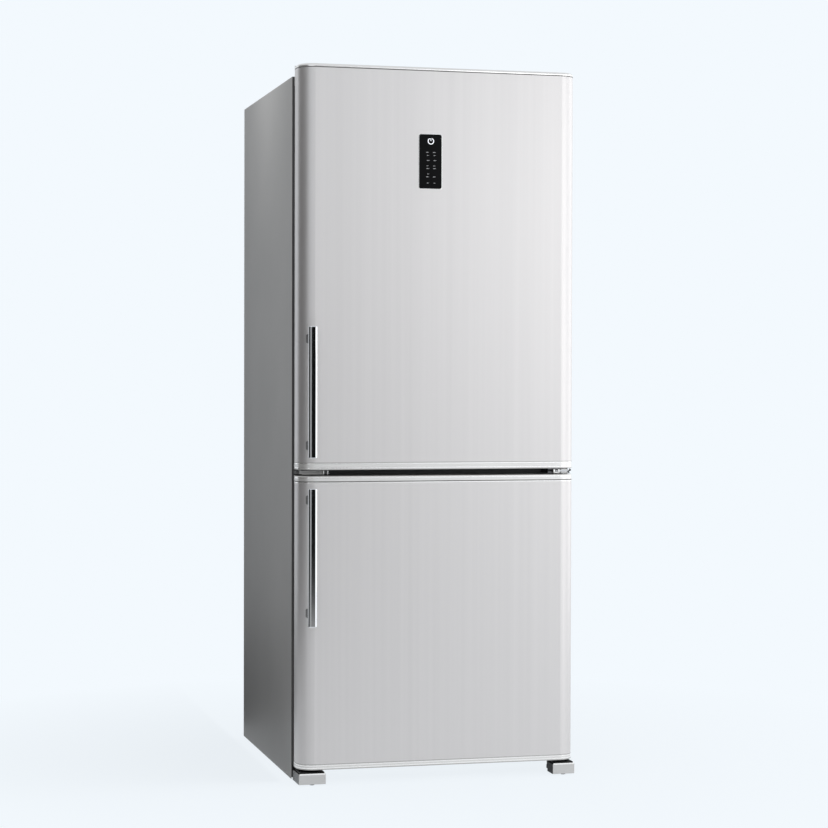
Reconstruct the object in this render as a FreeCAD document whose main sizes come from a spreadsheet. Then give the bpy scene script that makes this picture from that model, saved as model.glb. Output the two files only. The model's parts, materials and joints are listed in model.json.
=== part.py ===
import FreeCAD, Part
import math
import os
import Sketcher

# Refrigerator with a freezer at the bottom and two doors hinged on the right.
# Millimetres, +Z up, front towards -Y, origin on the floor under the middle of the
# whole object's box, from the face of the handles to the rear sheet.

SIZES = {
    # cabinet and doors as a whole
    "cabinet_width": 700, "overall_height": 1725, "body_depth": 745, "handle_reach": 47,
    "cabinet_drop": 24.5, "side_clearance_floor": 4, "door_inset": 4, "door_depth": 62,
    "seal_gap": 13, "door_gap": 15, "door_underside": 36, "freezer_door_height": 703.5,
    # sheets, walls and clearances
    "sheet": 0.8, "door_sheet": 0.8, "liner_wall": 2, "flange_width": 44, "fridge_wall": 52,
    "freezer_wall": 62, "rear_wall": 60, "roof_wall": 52.5, "seat_gap": 0.3, "overrun": 20,
    "pin_clearance": 0.05, "lip_width": 8,
    # rail between the compartments and the base
    "rail_height": 62, "rail_depth": 20, "base_rail_bottom": 8, "base_rail_top": 92,
    "base_rail_arch": 24, "base_rail_depth": 44, "floor_pan_height": 38,
    "machine_depth": 230, "machine_height": 250, "step_wall": 55,
    # door shells
    "edge_radius": 38, "fridge_top_cap": 7.5, "fridge_bottom_cap": 16, "freezer_top_cap": 12,
    "freezer_bottom_cap": 12, "cap_overhang": 3, "cap_edge_round": 3, "crown_round": 6,
    "return_flange": 12, "cap_skirt_height": 48, "cap_skirt_width": 12, "door_liner_plate": 2,
    "seal_inset": 24, "seal_width": 14, "seal_rail_inset": 6, "seal_top_drop": 10,
    "seal_base_rise": 20,
    # hinges
    "hinge_inset": 22, "hinge_setback": 40, "hinge_pin_radius": 5, "hinge_pin_depth": 18,
    "hinge_plate": 3.5, "hinge_arm_half": 8, "hinge_plate_width": 52, "hinge_plate_drop": 8.5,
    "top_hinge_length": 70, "recess_depth": 28, "recess_margin": 1.5, "recess_front": 18,
    "hinge_leg_height": 18, "screw_radius": 4, "screw_head": 2.2,
    "hinge_cover_length": 120, "hinge_cover_width": 104, "hinge_cover_height": 22,
    # handles
    "handle_width": 22, "handle_thickness": 14, "handle_inset": 13.5, "handle_corner": 6.5,
    "fridge_handle_rise": 29.5, "fridge_handle_length": 313,
    "freezer_handle_drop": 27.5, "freezer_handle_length": 329,
    "post_width": 15, "post_height": 22, "post_end": 18,
    # display
    "display_left": -53.5, "display_width": 56, "display_drop": 162, "display_height": 131,
    "display_proud": 2.5, "display_corner": 5,
    # inside of the doors
    "dyke_inset": 71, "dyke_width": 17, "dyke_rise": 48, "plateau_rise": 18,
    "dyke_end_gap": 14, "bin_depth": 108, "bin_wall": 2.5, "bin_side_gap": 2, "lug_reach": 10,
    "lug_height": 6, "lug_length": 40,
    "lug_gap": 3, "bin_lower_height": 120, "bin_middle_height": 90, "bin_upper_height": 80,
    # fridge compartment
    "duct_width": 180, "duct_depth": 26, "duct_end_gap": 30, "duct_slot_height": 8,
    "duct_slot_width": 60, "shelf_front_setback": 115, "shelf_side_gap": 4, "glass": 4,
    "shelf_bar": 14, "shelf_bar_height": 14, "shelf_groove": 6, "ledge_reach": 12,
    "ledge_height": 5, "shelf_rear_gap": 4,
    "lamp_length": 150, "lamp_width": 60, "lamp_drop": 6,
    # drawers
    "crisper_setback": 111, "crisper_side_gap": 26, "crisper_middle_gap": 4,
    "crisper_head_gap": 20, "crisper_back_gap": 59, "drawer_wall": 2.5, "drawer_front": 5,
    "crisper_guide_height": 10, "drawer_setback": 51, "drawer_side_gap": 24,
    "drawer_gap": 12, "drawer_roof_gap": 9, "lower_drawer_gap": 19,
    "lower_drawer_back_gap": 24, "drawer_back_gap": 19, "drawer_lip_height": 14,
    # cold air side of the freezer
    "cold_panel_gap": 90, "cold_panel": 3, "fan_radius": 50, "fan_hole_margin": 6,
    "fan_drop": 85, "fan_hub_radius": 14, "fan_depth": 22, "fan_blade": 2.2,
    "fan_shaft_radius": 2.5, "motor_radius": 28, "motor_depth": 24, "motor_arm": 8,
    "grille_slot_height": 9, "grille_slot_width": 150,
    "evaporator_side_gap": 68, "evaporator_rise": 25, "evaporator_head_gap": 105,
    "evaporator_depth": 56, "fin": 1.2, "fin_pitch": 20, "tube_radius": 4,
    # machine compartment
    "tray_sheet": 2, "tray_height": 38, "tray_margin": 12, "compressor_radius": 78,
    "compressor_height": 165, "compressor_offset": 190, "mount_radius": 11,
    "mount_height": 12, "relay_width": 46, "relay_depth": 52, "relay_height": 66,
    "condenser_left": 30, "condenser_room": 450,
    "condenser_pitch": 26, "condenser_tube": 3, "condenser_bottom": 78, "condenser_inset": 60,
    "drip_depth": 130, "drip_height": 30, "drip_wall": 2,
    "drier_radius": 9, "drier_length": 110, "cover_slot_height": 6, "cover_slot_pitch": 18,
    "cover_slot_width": 200, "cover_margin": 20, "inlet_width": 34, "inlet_height": 26,
    "inlet_level": 90, "inlet_bore": 4.5,
    "control_width": 180, "control_height": 110, "control_recess": 30, "control_drop": 320.5,
    "control_side": 90, "control_board": 1.6, "control_boss": 10,
    # feet and rollers
    "foot_inset": 27, "foot_setback": 22, "foot_radius": 18, "foot_pad": 8,
    "foot_stem": 5, "foot_boss": 9, "roller_radius": 18, "roller_width": 18,
    "roller_inset": 50, "roller_setback": 60, "axle_radius": 4, "ear_sheet": 2.5,
    "ear_gap": 1, "ear_half": 13,
    "foot_cover_left_width": 66, "foot_cover_right_width": 56, "foot_cover_right_depth": 42,
    "foot_cover_bottom": 2, "foot_cover_top": 26, "foot_cover_wall": 2, "foot_cover_side": 4,
    "gap_cover_width": 68, "gap_cover_height": 11, "gap_cover_reach": 34,
}

doc = FreeCAD.newDocument("Refrigerator")
sheet = doc.addObject("Spreadsheet::Sheet", "sizes")
for row, (name, value) in enumerate(SIZES.items(), start=1):
    sheet.set(f"A{row}", name)
    sheet.set(f"B{row}", str(value))
    sheet.setAlias(f"B{row}", name)
doc.recompute()


class Size:
    """A length of the sheet, or one worked out from several: its formula and its value."""

    def __init__(self, formula, value):
        self.formula = formula
        self.value = value

    def _join(self, sign, other, swapped=False):
        if not isinstance(other, Size):
            other = Size(repr(other), other)
        first, second = (other, self) if swapped else (self, other)
        results = {
            "+": lambda a, b: a + b,
            "-": lambda a, b: a - b,
            "*": lambda a, b: a * b,
            "/": lambda a, b: a / b,
        }
        value = results[sign](first.value, second.value)
        return Size(f"({first.formula} {sign} {second.formula})", value)

    def __add__(self, other):
        return self._join("+", other)

    def __sub__(self, other):
        return self._join("-", other)

    def __mul__(self, other):
        return self._join("*", other)

    def __rmul__(self, other):
        return self._join("*", other, swapped=True)

    def __truediv__(self, other):
        return self._join("/", other)

    def __neg__(self):
        return Size(f"(-1 * {self.formula})", -self.value)


class Sheet:
    """The cells of the sheet by name."""


d = Sheet()
for name in SIZES:
    setattr(d, name, Size(f"sizes.{name}", float(sheet.get(name))))

ZERO = d.sheet - d.sheet

# Places that many pieces share
half = d.cabinet_width / 2
rear = (d.body_depth + d.handle_reach) / 2
door_face = rear - d.body_depth
door_rear = door_face + d.door_depth
cabinet_front = door_rear + d.seal_gap
cabinet_top = d.overall_height - d.cabinet_drop
freezer_door_top = d.door_underside + d.freezer_door_height
fridge_door_bottom = freezer_door_top + d.door_gap
gap_middle = freezer_door_top + d.door_gap / 2
rail_bottom = gap_middle - d.rail_height / 2
rail_top = gap_middle + d.rail_height / 2
door_half = half - d.door_inset
hinge_x = door_half - d.hinge_inset
hinge_y = door_face + d.hinge_setback
machine_front = rear - d.machine_depth
liner_back = rear - d.rear_wall
fridge_half = half - d.fridge_wall
freezer_half = half - d.freezer_wall
fridge_floor = rail_top + d.lip_width
fridge_roof = cabinet_top - d.roof_wall
freezer_floor = d.base_rail_top + d.lip_width
freezer_roof = rail_bottom - d.lip_width
freezer_step_y = machine_front - d.step_wall
freezer_step_z = d.machine_height + d.step_wall
opening_half = half - d.flange_width
cold_panel_y = liner_back - d.cold_panel_gap

cover_ends = (
    d.foot_cover_side + d.foot_cover_left_width - half,
    half - d.foot_cover_side - d.foot_cover_right_width,
)

# Shelves, drawers and bins, as shares of the room that their compartment gives them
SHELF_SHARES = (0.21, 0.438, 0.636, 0.822)
BIN_SHARES = (0.394, 0.731)
shelf_front = cabinet_front + d.shelf_front_setback
shelf_back = liner_back - d.duct_depth - d.shelf_rear_gap
shelf_levels = [fridge_floor + (fridge_roof - fridge_floor) * part for part in SHELF_SHARES]
crisper_front_y = cabinet_front + d.crisper_setback
crisper_depth = liner_back - crisper_front_y - d.crisper_back_gap
crisper_half = fridge_half - d.crisper_side_gap
drawer_front_y = cabinet_front + d.drawer_setback
drawer_half = freezer_half - d.drawer_side_gap
drawer_depth = cold_panel_y - drawer_front_y - d.drawer_back_gap
lower_drawer_depth = freezer_step_y - drawer_front_y - d.lower_drawer_back_gap
drawer_pitch = (freezer_roof - freezer_step_z - d.drawer_roof_gap) / 2
drawer_height = drawer_pitch - d.drawer_gap
lower_drawer_height = freezer_step_z - freezer_floor - d.lower_drawer_gap
drawer_levels = [
    freezer_floor + d.seat_gap,
    freezer_step_z + d.seat_gap,
    freezer_step_z + d.seat_gap + drawer_pitch,
]
fan_level = freezer_roof - d.fan_drop
dyke_half = half - d.dyke_inset
dyke_z = (fridge_floor + d.dyke_end_gap, fridge_roof - d.dyke_end_gap)
bin_floors = [dyke_z[0] + d.dyke_width + d.lug_height + d.lug_gap]
bin_floors += [dyke_z[0] + (dyke_z[1] - dyke_z[0]) * part for part in BIN_SHARES]
control_level = cabinet_top - d.control_drop

counter = 0
nodes = []


def new(kind, stem):
    global counter
    counter += 1
    return doc.addObject(kind, f"{stem}_{counter}")


def bind(item, prop, size):
    """Give a property its formula; a bare zero stays zero."""
    if isinstance(size, Size):
        item.setExpression(prop, size.formula)


def place(item, x=None, y=None, z=None):
    bind(item, "Placement.Base.x", x)
    bind(item, "Placement.Base.y", y)
    bind(item, "Placement.Base.z", z)


def box(x, y, z):
    """A block between two planes on each axis."""
    item = new("Part::Box", "block")
    bind(item, "Length", x[1] - x[0])
    bind(item, "Width", y[1] - y[0])
    bind(item, "Height", z[1] - z[0])
    place(item, x[0], y[0], z[0])
    return item


TURNS = {
    "x": FreeCAD.Rotation(FreeCAD.Vector(0, 1, 0), 90),
    "y": FreeCAD.Rotation(FreeCAD.Vector(1, 0, 0), -90),
    "z": FreeCAD.Rotation(),
}


def rod(axis, start, radius, length):
    """A round bar that starts at a point and runs along +X, +Y or +Z."""
    item = new("Part::Cylinder", "rod")
    item.Placement = FreeCAD.Placement(FreeCAD.Vector(), TURNS[axis])
    bind(item, "Radius", radius)
    bind(item, "Height", length)
    place(item, *start)
    return item


def cut(base, *tools):
    for tool in tools:
        item = new("Part::Cut", "cut")
        item.Base = base
        item.Tool = tool
        base = item
    return base


def common(first, second):
    item = new("Part::Common", "shared")
    item.Base = first
    item.Tool = second
    return item


def fuse(*items):
    if len(items) == 1:
        return items[0]
    item = new("Part::MultiFuse", "fusion")
    item.Shapes = list(items)
    return item


def group(*items):
    """Separate solids of one kind that are kept together in one node."""
    item = new("Part::Compound", "set")
    item.Links = list(items)
    return item


def rounded(base, radius, choose):
    """Round the edges of a piece that a test picks by their two ends."""
    doc.recompute()
    item = new("Part::Fillet", "round")
    item.Base = base
    picked = []
    for index, edge in enumerate(base.Shape.Edges, start=1):
        ends = [vertex.Point for vertex in edge.Vertexes]
        if len(ends) == 2 and choose(*ends):
            picked.append((index, radius.value, radius.value))
    item.Edges = picked
    return item


def along(axis, *near):
    """Test for straight edges along one axis, with optional planes that they lie on."""
    others = [other for other in "xyz" if other != axis]

    def test(first, second):
        for other in others:
            if abs(getattr(first, other) - getattr(second, other)) > SHORT:
                return False
        for other, size in near:
            if abs(getattr(first, other) - size.value) > SHORT:
                return False
        return True

    return test


SHORT = 0.001 * d.sheet.value


def sketch_outline(body, role, corners):
    """Draw a closed outline whose corners are tied to the sheet, some of them rounded."""
    sketch = body.newObject("Sketcher::SketchObject", "outline")
    plane = [item for item in body.Origin.OriginFeatures if item.Role == role][0]
    sketch.AttachmentSupport = [(plane, "")]
    sketch.MapMode = "FlatFace"
    count = len(corners)
    points = []
    for index, corner in enumerate(corners):
        x, y = corner[0], corner[1]
        if len(corner) == 2:
            points.append((x, y, None))
            continue
        radius = corner[2]
        before = corners[index - 1]
        after = corners[(index + 1) % count]
        for other in (before, after):
            step_x = unit(other[0].value - x.value)
            step_y = unit(other[1].value - y.value)
            bend = radius if other is before else None
            points.append((x + radius * step_x, y + radius * step_y, bend))
    total = len(points)
    for index in range(total):
        x, y, bend = points[index]
        next_x, next_y, _ = points[(index + 1) % total]
        start = FreeCAD.Vector(x.value, y.value, 0)
        end = FreeCAD.Vector(next_x.value, next_y.value, 0)
        if bend is None:
            sketch.addGeometry(Part.LineSegment(start, end), False)
        else:
            sketch.addGeometry(Part.Arc(start, arc_middle(points, index), end), False)
    for index in range(total):
        x, y, bend = points[index]
        sketch.addConstraint(Sketcher.Constraint("Coincident", index, 2, (index + 1) % total, 1))
        for kind, size in (("DistanceX", x), ("DistanceY", y)):
            number = sketch.addConstraint(
                Sketcher.Constraint(kind, -1, 1, index, 1, size.value)
            )
            sketch.setExpression(f"Constraints[{number}]", size.formula)
        if bend is not None:
            number = sketch.addConstraint(Sketcher.Constraint("Radius", index, bend.value))
            sketch.setExpression(f"Constraints[{number}]", bend.formula)
    return sketch


def unit(number):
    return (number > 0) - (number < 0)


def arc_middle(points, index):
    """The middle of a quarter round between two tangent points."""
    before, start = points[index - 1], points[index]
    end = points[(index + 1) % len(points)]
    first = FreeCAD.Vector(start[0].value, start[1].value, 0)
    last = FreeCAD.Vector(end[0].value, end[1].value, 0)
    came = first - FreeCAD.Vector(before[0].value, before[1].value, 0)
    corner = first + came.normalize() * start[2].value
    centre = first + last - corner
    return centre + (corner - centre).normalize() * start[2].value


def pad(role, corners, length, x=None, y=None, z=None, turn=None):
    """A flat outline thickened by a length, moved to its place."""
    body = new("PartDesign::Body", "padded")
    sketch = sketch_outline(body, role, corners)
    feature = body.newObject("PartDesign::Pad", "thickness")
    feature.Profile = sketch
    bind(feature, "Length", length)
    sketch.Visibility = False
    if turn is not None:
        body.Placement = FreeCAD.Placement(FreeCAD.Vector(), turn)
    place(body, x, y, z)
    return body


def turned(corners, x=None, y=None, z=None, turn=None):
    """A half outline, radius against height, turned about its own axis."""
    body = new("PartDesign::Body", "turned")
    sketch = sketch_outline(body, "XZ_Plane", corners)
    feature = body.newObject("PartDesign::Revolution", "turning")
    feature.Profile = sketch
    feature.ReferenceAxis = (sketch, ["V_Axis"])
    if turn is not None:
        body.Placement = FreeCAD.Placement(FreeCAD.Vector(), turn)
    place(body, x, y, z)
    return body


def keep(label, item):
    """Name a finished piece; its name is the name of its file."""
    item.Label = label
    nodes.append(item)
    return item


def door_block(inset, front, back, z):
    """A block with the plan outline of a door, its front edges well rounded."""
    side = door_half - inset
    radius = d.edge_radius - inset
    corners = [
        (-side, front, radius),
        (side, front, radius),
        (side, back),
        (-side, back),
    ]
    return pad("XY_Plane", corners, z[1] - z[0], z=z[0])


def open_box(x, y, z, wall, front):
    """A drawer or bin: four walls and a floor, open at the top."""
    inner = box(
        (x[0] + wall, x[1] - wall), (y[0] + front, y[1] - wall), (z[0] + wall, z[1] + d.overrun)
    )
    return cut(box(x, y, z), inner)


def frame_ring(x, y, z, width):
    """A flat rectangular ring that faces the front."""
    hole = box(
        (x[0] + width, x[1] - width),
        (y[0] - d.overrun, y[1] + d.overrun),
        (z[0] + width, z[1] - width),
    )
    return cut(box(x, y, z), hole)


# Cabinet


def cabinet_shell():
    """Sides and top bent from one sheet, with a flange turned in along the front."""
    outer = box((-half, half), (cabinet_front, rear), (d.side_clearance_floor, cabinet_top))
    inside = box(
        (d.sheet - half, half - d.sheet),
        (cabinet_front + d.sheet, rear + d.overrun),
        (d.side_clearance_floor - d.overrun, cabinet_top - d.sheet),
    )
    mouth = box(
        (-opening_half, opening_half),
        (cabinet_front - d.overrun, cabinet_front + d.overrun),
        (d.side_clearance_floor - d.overrun, cabinet_top - d.flange_width),
    )
    foot_room = box(
        (d.sheet - half, half - d.sheet),
        (cabinet_front - d.overrun, cabinet_front + d.overrun),
        (d.side_clearance_floor - d.overrun, d.base_rail_top),
    )
    rail_room = box(
        (d.sheet - half, half - d.sheet),
        (cabinet_front - d.overrun, cabinet_front + d.overrun),
        (rail_bottom, rail_top),
    )
    keep("cabinet_shell", cut(outer, inside, mouth, foot_room, rail_room))


def back_panel():
    """Rear sheet that turns in over the machine compartment, down its front and forward."""
    side = half - d.sheet
    wall = box((-side, side), (rear - d.sheet, rear), (d.machine_height, cabinet_top - d.sheet))
    roof = box(
        (-side, side), (machine_front, rear), (d.machine_height, d.machine_height + d.sheet)
    )
    riser = box(
        (-side, side),
        (machine_front, machine_front + d.sheet),
        (d.floor_pan_height, d.machine_height + d.sheet),
    )
    pan = box(
        (-side, side),
        (cabinet_front + d.base_rail_depth, machine_front + d.sheet),
        (d.floor_pan_height, d.floor_pan_height + d.sheet),
    )
    keep("back_panel", fuse(wall, roof, riser, pan))


control_left = half - d.control_side - d.control_width


def liner_shape(side, floor, roof, grow, stepped):
    """The outside of a liner, or with no growth its cavity."""
    front = cabinet_front if grow is not None else cabinet_front - d.overrun
    wall = grow if grow is not None else ZERO
    if not stepped:
        return box(
            (-side - wall, side + wall), (front, liner_back + wall), (floor - wall, roof + wall)
        )
    low = box(
        (-side - wall, side + wall), (front, freezer_step_y + wall), (floor - wall, roof + wall)
    )
    high = box(
        (-side - wall, side + wall),
        (front, liner_back + wall),
        (freezer_step_z - wall, roof + wall),
    )
    return fuse(low, high)


def liner_ledges(side, levels, front, back, reach):
    """Pairs of ledges along the side walls, their upper faces at the given levels."""
    ledges = []
    for level in levels:
        for sign in (-1, 1):
            x = (-side, -side + reach) if sign < 0 else (side - reach, side)
            ledges.append(box(x, (front, back), (level - d.ledge_height, level)))
    return ledges


def fridge_liner():
    outer = liner_shape(fridge_half, fridge_floor, fridge_roof, d.liner_wall, False)
    lip = box(
        (-opening_half, opening_half),
        (cabinet_front, cabinet_front + d.liner_wall),
        (rail_top, cabinet_top - d.flange_width),
    )
    cavity = liner_shape(fridge_half, fridge_floor, fridge_roof, None, False)
    ledges = liner_ledges(
        fridge_half, shelf_levels, shelf_front, shelf_back, d.ledge_reach
    )
    guide_side = crisper_half + d.seat_gap
    for x in ((-fridge_half, -guide_side), (guide_side, fridge_half)):
        ledges.append(
            box(
                x,
                (crisper_front_y, crisper_front_y + crisper_depth),
                (fridge_floor, fridge_floor + d.crisper_guide_height),
            )
        )
    middle = d.crisper_middle_gap - d.seat_gap
    ledges.append(
        box(
            (-middle, middle),
            (crisper_front_y, crisper_front_y + crisper_depth),
            (fridge_floor, fridge_floor + d.crisper_guide_height),
        )
    )
    keep("fridge_liner", fuse(cut(fuse(outer, lip), cavity), *ledges))


def freezer_liner():
    outer = liner_shape(freezer_half, freezer_floor, freezer_roof, d.liner_wall, True)
    lip = box(
        (-opening_half, opening_half),
        (cabinet_front, cabinet_front + d.liner_wall),
        (d.base_rail_top, rail_bottom),
    )
    cavity = liner_shape(freezer_half, freezer_floor, freezer_roof, None, True)
    reach = d.drawer_side_gap + d.ledge_reach
    ledges = []
    ends = (freezer_step_y, drawer_front_y + drawer_depth)
    for level, end in zip(drawer_levels[1:], ends):
        ledges += liner_ledges(
            freezer_half, [level - d.seat_gap], drawer_front_y, end, reach
        )
    keep("freezer_liner", fuse(cut(fuse(outer, lip), cavity), *ledges))


def cabinet_foam():
    """One block of insulation that fills all the room between wrapper and liners."""
    side = half - d.sheet
    block = box(
        (-side, side),
        (cabinet_front + d.liner_wall, rear - d.sheet),
        (d.floor_pan_height + d.sheet, cabinet_top - d.sheet),
    )
    machine = box(
        (-half, half),
        (machine_front, rear + d.overrun),
        (d.floor_pan_height - d.overrun, d.machine_height + d.sheet),
    )
    base = box(
        (-half, half),
        (cabinet_front, cabinet_front + d.base_rail_depth),
        (d.floor_pan_height - d.overrun, d.base_rail_top),
    )
    rail = box(
        (-half, half), (cabinet_front, cabinet_front + d.rail_depth), (rail_bottom, rail_top)
    )
    recess = box(
        (control_left, control_left + d.control_width),
        (rear - d.control_recess, rear + d.overrun),
        (control_level, control_level + d.control_height),
    )
    fridge = liner_shape(fridge_half, fridge_floor, fridge_roof, d.liner_wall, False)
    freezer = liner_shape(freezer_half, freezer_floor, freezer_roof, d.liner_wall, True)
    keep("cabinet_foam", cut(block, machine, base, rail, recess, fridge, freezer))


def front_cross_rail():
    side = half - d.sheet
    rail = box(
        (-side, side), (cabinet_front, cabinet_front + d.rail_depth), (rail_bottom, rail_top)
    )
    keep("front_cross_rail", rail)


def base_rail():
    """Front cross member: a channel with a nut boss over each foot, low at its ends only."""
    side = half - d.sheet
    front = box(
        (-side, side),
        (cabinet_front, cabinet_front + d.liner_wall),
        (d.base_rail_bottom, d.base_rail_top),
    )
    arch = box(
        (cover_ends[0], half - d.foot_inset),
        (cabinet_front - d.overrun, cabinet_front + d.base_rail_depth / 2),
        (d.base_rail_bottom - d.overrun, d.base_rail_arch),
    )
    shelf = box(
        (-side, side),
        (cabinet_front, cabinet_front + d.base_rail_depth),
        (d.floor_pan_height, d.floor_pan_height + d.liner_wall),
    )
    back = box(
        (-side, side),
        (cabinet_front + d.base_rail_depth - d.liner_wall, cabinet_front + d.base_rail_depth),
        (d.floor_pan_height, d.base_rail_top),
    )
    parts = [cut(front, arch), shelf, back]
    holes = []
    for x in (d.foot_inset - half, half - d.foot_inset):
        bottom = d.foot_pad + d.seat_gap
        parts.append(
            rod(
                "z", (x, cabinet_front + d.foot_setback, bottom), d.foot_boss,
                d.floor_pan_height + d.liner_wall - bottom,
            )
        )
        holes.append(
            rod(
                "z", (x, cabinet_front + d.foot_setback, ZERO),
                d.foot_stem + d.pin_clearance, d.base_rail_top,
            )
        )
    keep("base_rail", cut(fuse(*parts), *holes))


def foot_covers():
    """Silver covers under both front corners, open behind and below; the right one is short
    and hangs from the hinge plate by a stud."""
    covers = []
    places = (
        ((d.foot_cover_side - half, cover_ends[0]), cabinet_front),
        ((cover_ends[1], half - d.foot_cover_side), door_face + d.foot_cover_right_depth),
    )
    for x, back in places:
        block = box(x, (door_face, back), (d.foot_cover_bottom, d.foot_cover_top))
        block = rounded(
            block, d.foot_cover_wall, along("z", ("y", door_face))
        )
        room = box(
            (x[0] + d.foot_cover_wall, x[1] - d.foot_cover_wall),
            (door_face + d.foot_cover_wall, cabinet_front + d.overrun),
            (d.foot_cover_bottom - d.overrun, d.foot_cover_top - d.foot_cover_wall),
        )
        covers.append(cut(block, room))
    stud = box(
        (hinge_x - d.hinge_arm_half, hinge_x + d.hinge_arm_half),
        (hinge_y - d.hinge_arm_half, door_face + d.foot_cover_right_depth),
        (d.foot_cover_top - d.foot_cover_wall, d.door_underside - d.hinge_plate * 2),
    )
    keep("foot_covers", group(covers[0], fuse(covers[1], stud)))


def feet():
    """Levelling feet: a round pad on a threaded stem."""
    top = d.floor_pan_height + d.liner_wall
    corners = [
        (ZERO, ZERO),
        (d.foot_radius, ZERO),
        (d.foot_radius, d.foot_pad),
        (d.foot_stem, d.foot_pad),
        (d.foot_stem, top),
        (ZERO, top),
    ]
    for label, x in (("foot_left", d.foot_inset - half), ("foot_right", half - d.foot_inset)):
        keep(label, turned(corners, x, cabinet_front + d.foot_setback, None))


roller_y = rear - d.roller_setback


def rollers():
    """Rear rollers, each a wheel with a bore for its axle."""
    half_width = d.roller_width / 2
    bore = d.axle_radius + d.pin_clearance
    corners = [
        (bore, -half_width),
        (d.roller_radius, -half_width, d.foot_cover_wall),
        (d.roller_radius, half_width, d.foot_cover_wall),
        (bore, half_width),
    ]
    for label, sign in (("roller_left", -1), ("roller_right", 1)):
        x = (half - d.roller_inset) * sign
        keep(label, turned(corners, x, roller_y, d.roller_radius, TURNS["x"]))


def compressor_tray():
    """Floor of the machine compartment, with ears and axles for the rear rollers."""
    side = half - d.sheet
    plate = box(
        (-side, side),
        (machine_front + d.sheet, rear - d.tray_margin),
        (d.tray_height, d.tray_height + d.tray_sheet),
    )
    parts = [plate]
    for sign in (-1, 1):
        centre = (half - d.roller_inset) * sign
        outer = d.roller_width / 2 + d.ear_gap
        for x in (
            (centre - outer - d.ear_sheet, centre - outer),
            (centre + outer, centre + outer + d.ear_sheet),
        ):
            parts.append(
                box(
                    x,
                    (roller_y - d.ear_half, roller_y + d.ear_half),
                    (d.roller_radius - d.ear_half / 2, d.tray_height),
                )
            )
        axle_start = centre - outer - d.ear_sheet
        parts.append(
            rod(
                "x", (axle_start, roller_y, d.roller_radius), d.axle_radius,
                (outer + d.ear_sheet) * 2,
            )
        )
    keep("compressor_tray", fuse(*parts))


compressor_x = half - d.compressor_offset
compressor_y = machine_front + d.machine_depth / 2
tray_top = d.tray_height + d.tray_sheet


def compressor():
    """Pressed steel pot on a foot plate with four rubber mounts, and its relay box."""
    base = tray_top + d.mount_height
    edge = d.compressor_radius / 2
    corners = [
        (ZERO, ZERO),
        (d.compressor_radius, ZERO, edge / 2),
        (d.compressor_radius, d.compressor_height, edge),
        (ZERO, d.compressor_height),
    ]
    pot = turned(corners, compressor_x, compressor_y, base)
    plate = box(
        (compressor_x - d.compressor_radius, compressor_x + d.compressor_radius),
        (compressor_y - d.compressor_radius, compressor_y + d.compressor_radius),
        (base, base + d.ear_sheet),
    )
    solids = [fuse(pot, plate)]
    reach = d.compressor_radius - d.mount_radius
    for step_x in (-1, 1):
        for step_y in (-1, 1):
            solids.append(
                rod(
                    "z",
                    (compressor_x + reach * step_x, compressor_y + reach * step_y, tray_top),
                    d.mount_radius, d.mount_height,
                )
            )
    relay_x = compressor_x - d.compressor_radius - d.seat_gap
    solids.append(
        box(
            (relay_x - d.relay_width, relay_x),
            (compressor_y - d.relay_depth / 2, compressor_y + d.relay_depth / 2),
            (base + edge, base + edge + d.relay_height),
        )
    )
    keep("compressor", group(*solids))


CONDENSER_ROWS = 6
condenser_x = d.condenser_left - half
condenser_y = rear - d.condenser_inset
condenser_length = d.cabinet_width - d.condenser_room


def tube_along(points, bend, radius):
    """A round tube along straight runs that meet in arcs of one radius."""
    edges = []
    start = points[0]
    for index in range(1, len(points) - 1):
        corner = points[index]
        back = (points[index - 1] - corner).normalize()
        ahead = (points[index + 1] - corner).normalize()
        turn = math.pi - back.getAngle(ahead)
        set_back = bend * math.tan(turn / 2)
        first = corner + back * set_back
        last = corner + ahead * set_back
        inward = (back + ahead).normalize()
        centre = corner + inward * (bend / math.cos(turn / 2))
        middle = centre - inward * bend
        if (first - start).Length > SHORT:
            edges.append(Part.LineSegment(start, first).toShape())
        edges.append(Part.Arc(first, middle, last).toShape())
        start = last
    edges.append(Part.LineSegment(start, points[-1]).toShape())
    path = Part.Wire(edges)
    circle = Part.Circle(points[0], points[1] - points[0], radius)
    profile = Part.Wire([circle.toShape()])
    return path.makePipeShell([profile], True, False)


def condenser_coil():
    """Serpentine tube with the drier at its end, one layer in a vertical plane."""
    x0, y0 = condenser_x.value, condenser_y.value
    length, pitch = condenser_length.value, d.condenser_pitch.value
    bottom, tube = d.condenser_bottom.value, d.condenser_tube.value
    points = [FreeCAD.Vector(x0, y0, bottom)]
    for row in range(CONDENSER_ROWS):
        z = bottom + row * pitch
        end = x0 + length if row % 2 == 0 else x0
        points.append(FreeCAD.Vector(end, y0, z))
        if row < CONDENSER_ROWS - 1:
            points.append(FreeCAD.Vector(end, y0, z + pitch))
    coil = tube_along(points, pitch / 2 - SHORT, tube)
    tubes = new("Part::Feature", "tubes")
    tubes.Shape = coil
    top = d.condenser_bottom + d.condenser_pitch * (CONDENSER_ROWS - 1)
    drier_z = top + d.condenser_tube + d.drier_radius + d.seat_gap
    drier = rod(
        "x", (condenser_x + d.condenser_pitch * 2, condenser_y, drier_z),
        d.drier_radius, d.drier_length,
    )
    solids = [tubes, drier]
    for share in STAND_SHARES:
        x = condenser_x + condenser_length * share
        solids.append(
            box(
                (x - d.condenser_tube, x + d.condenser_tube),
                (condenser_y + d.condenser_tube, condenser_y + d.condenser_tube * 2),
                (tray_top, top + d.condenser_tube),
            )
        )
    keep("condenser_coil", group(*solids))


STAND_SHARES = (0.2, 0.8)


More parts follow.
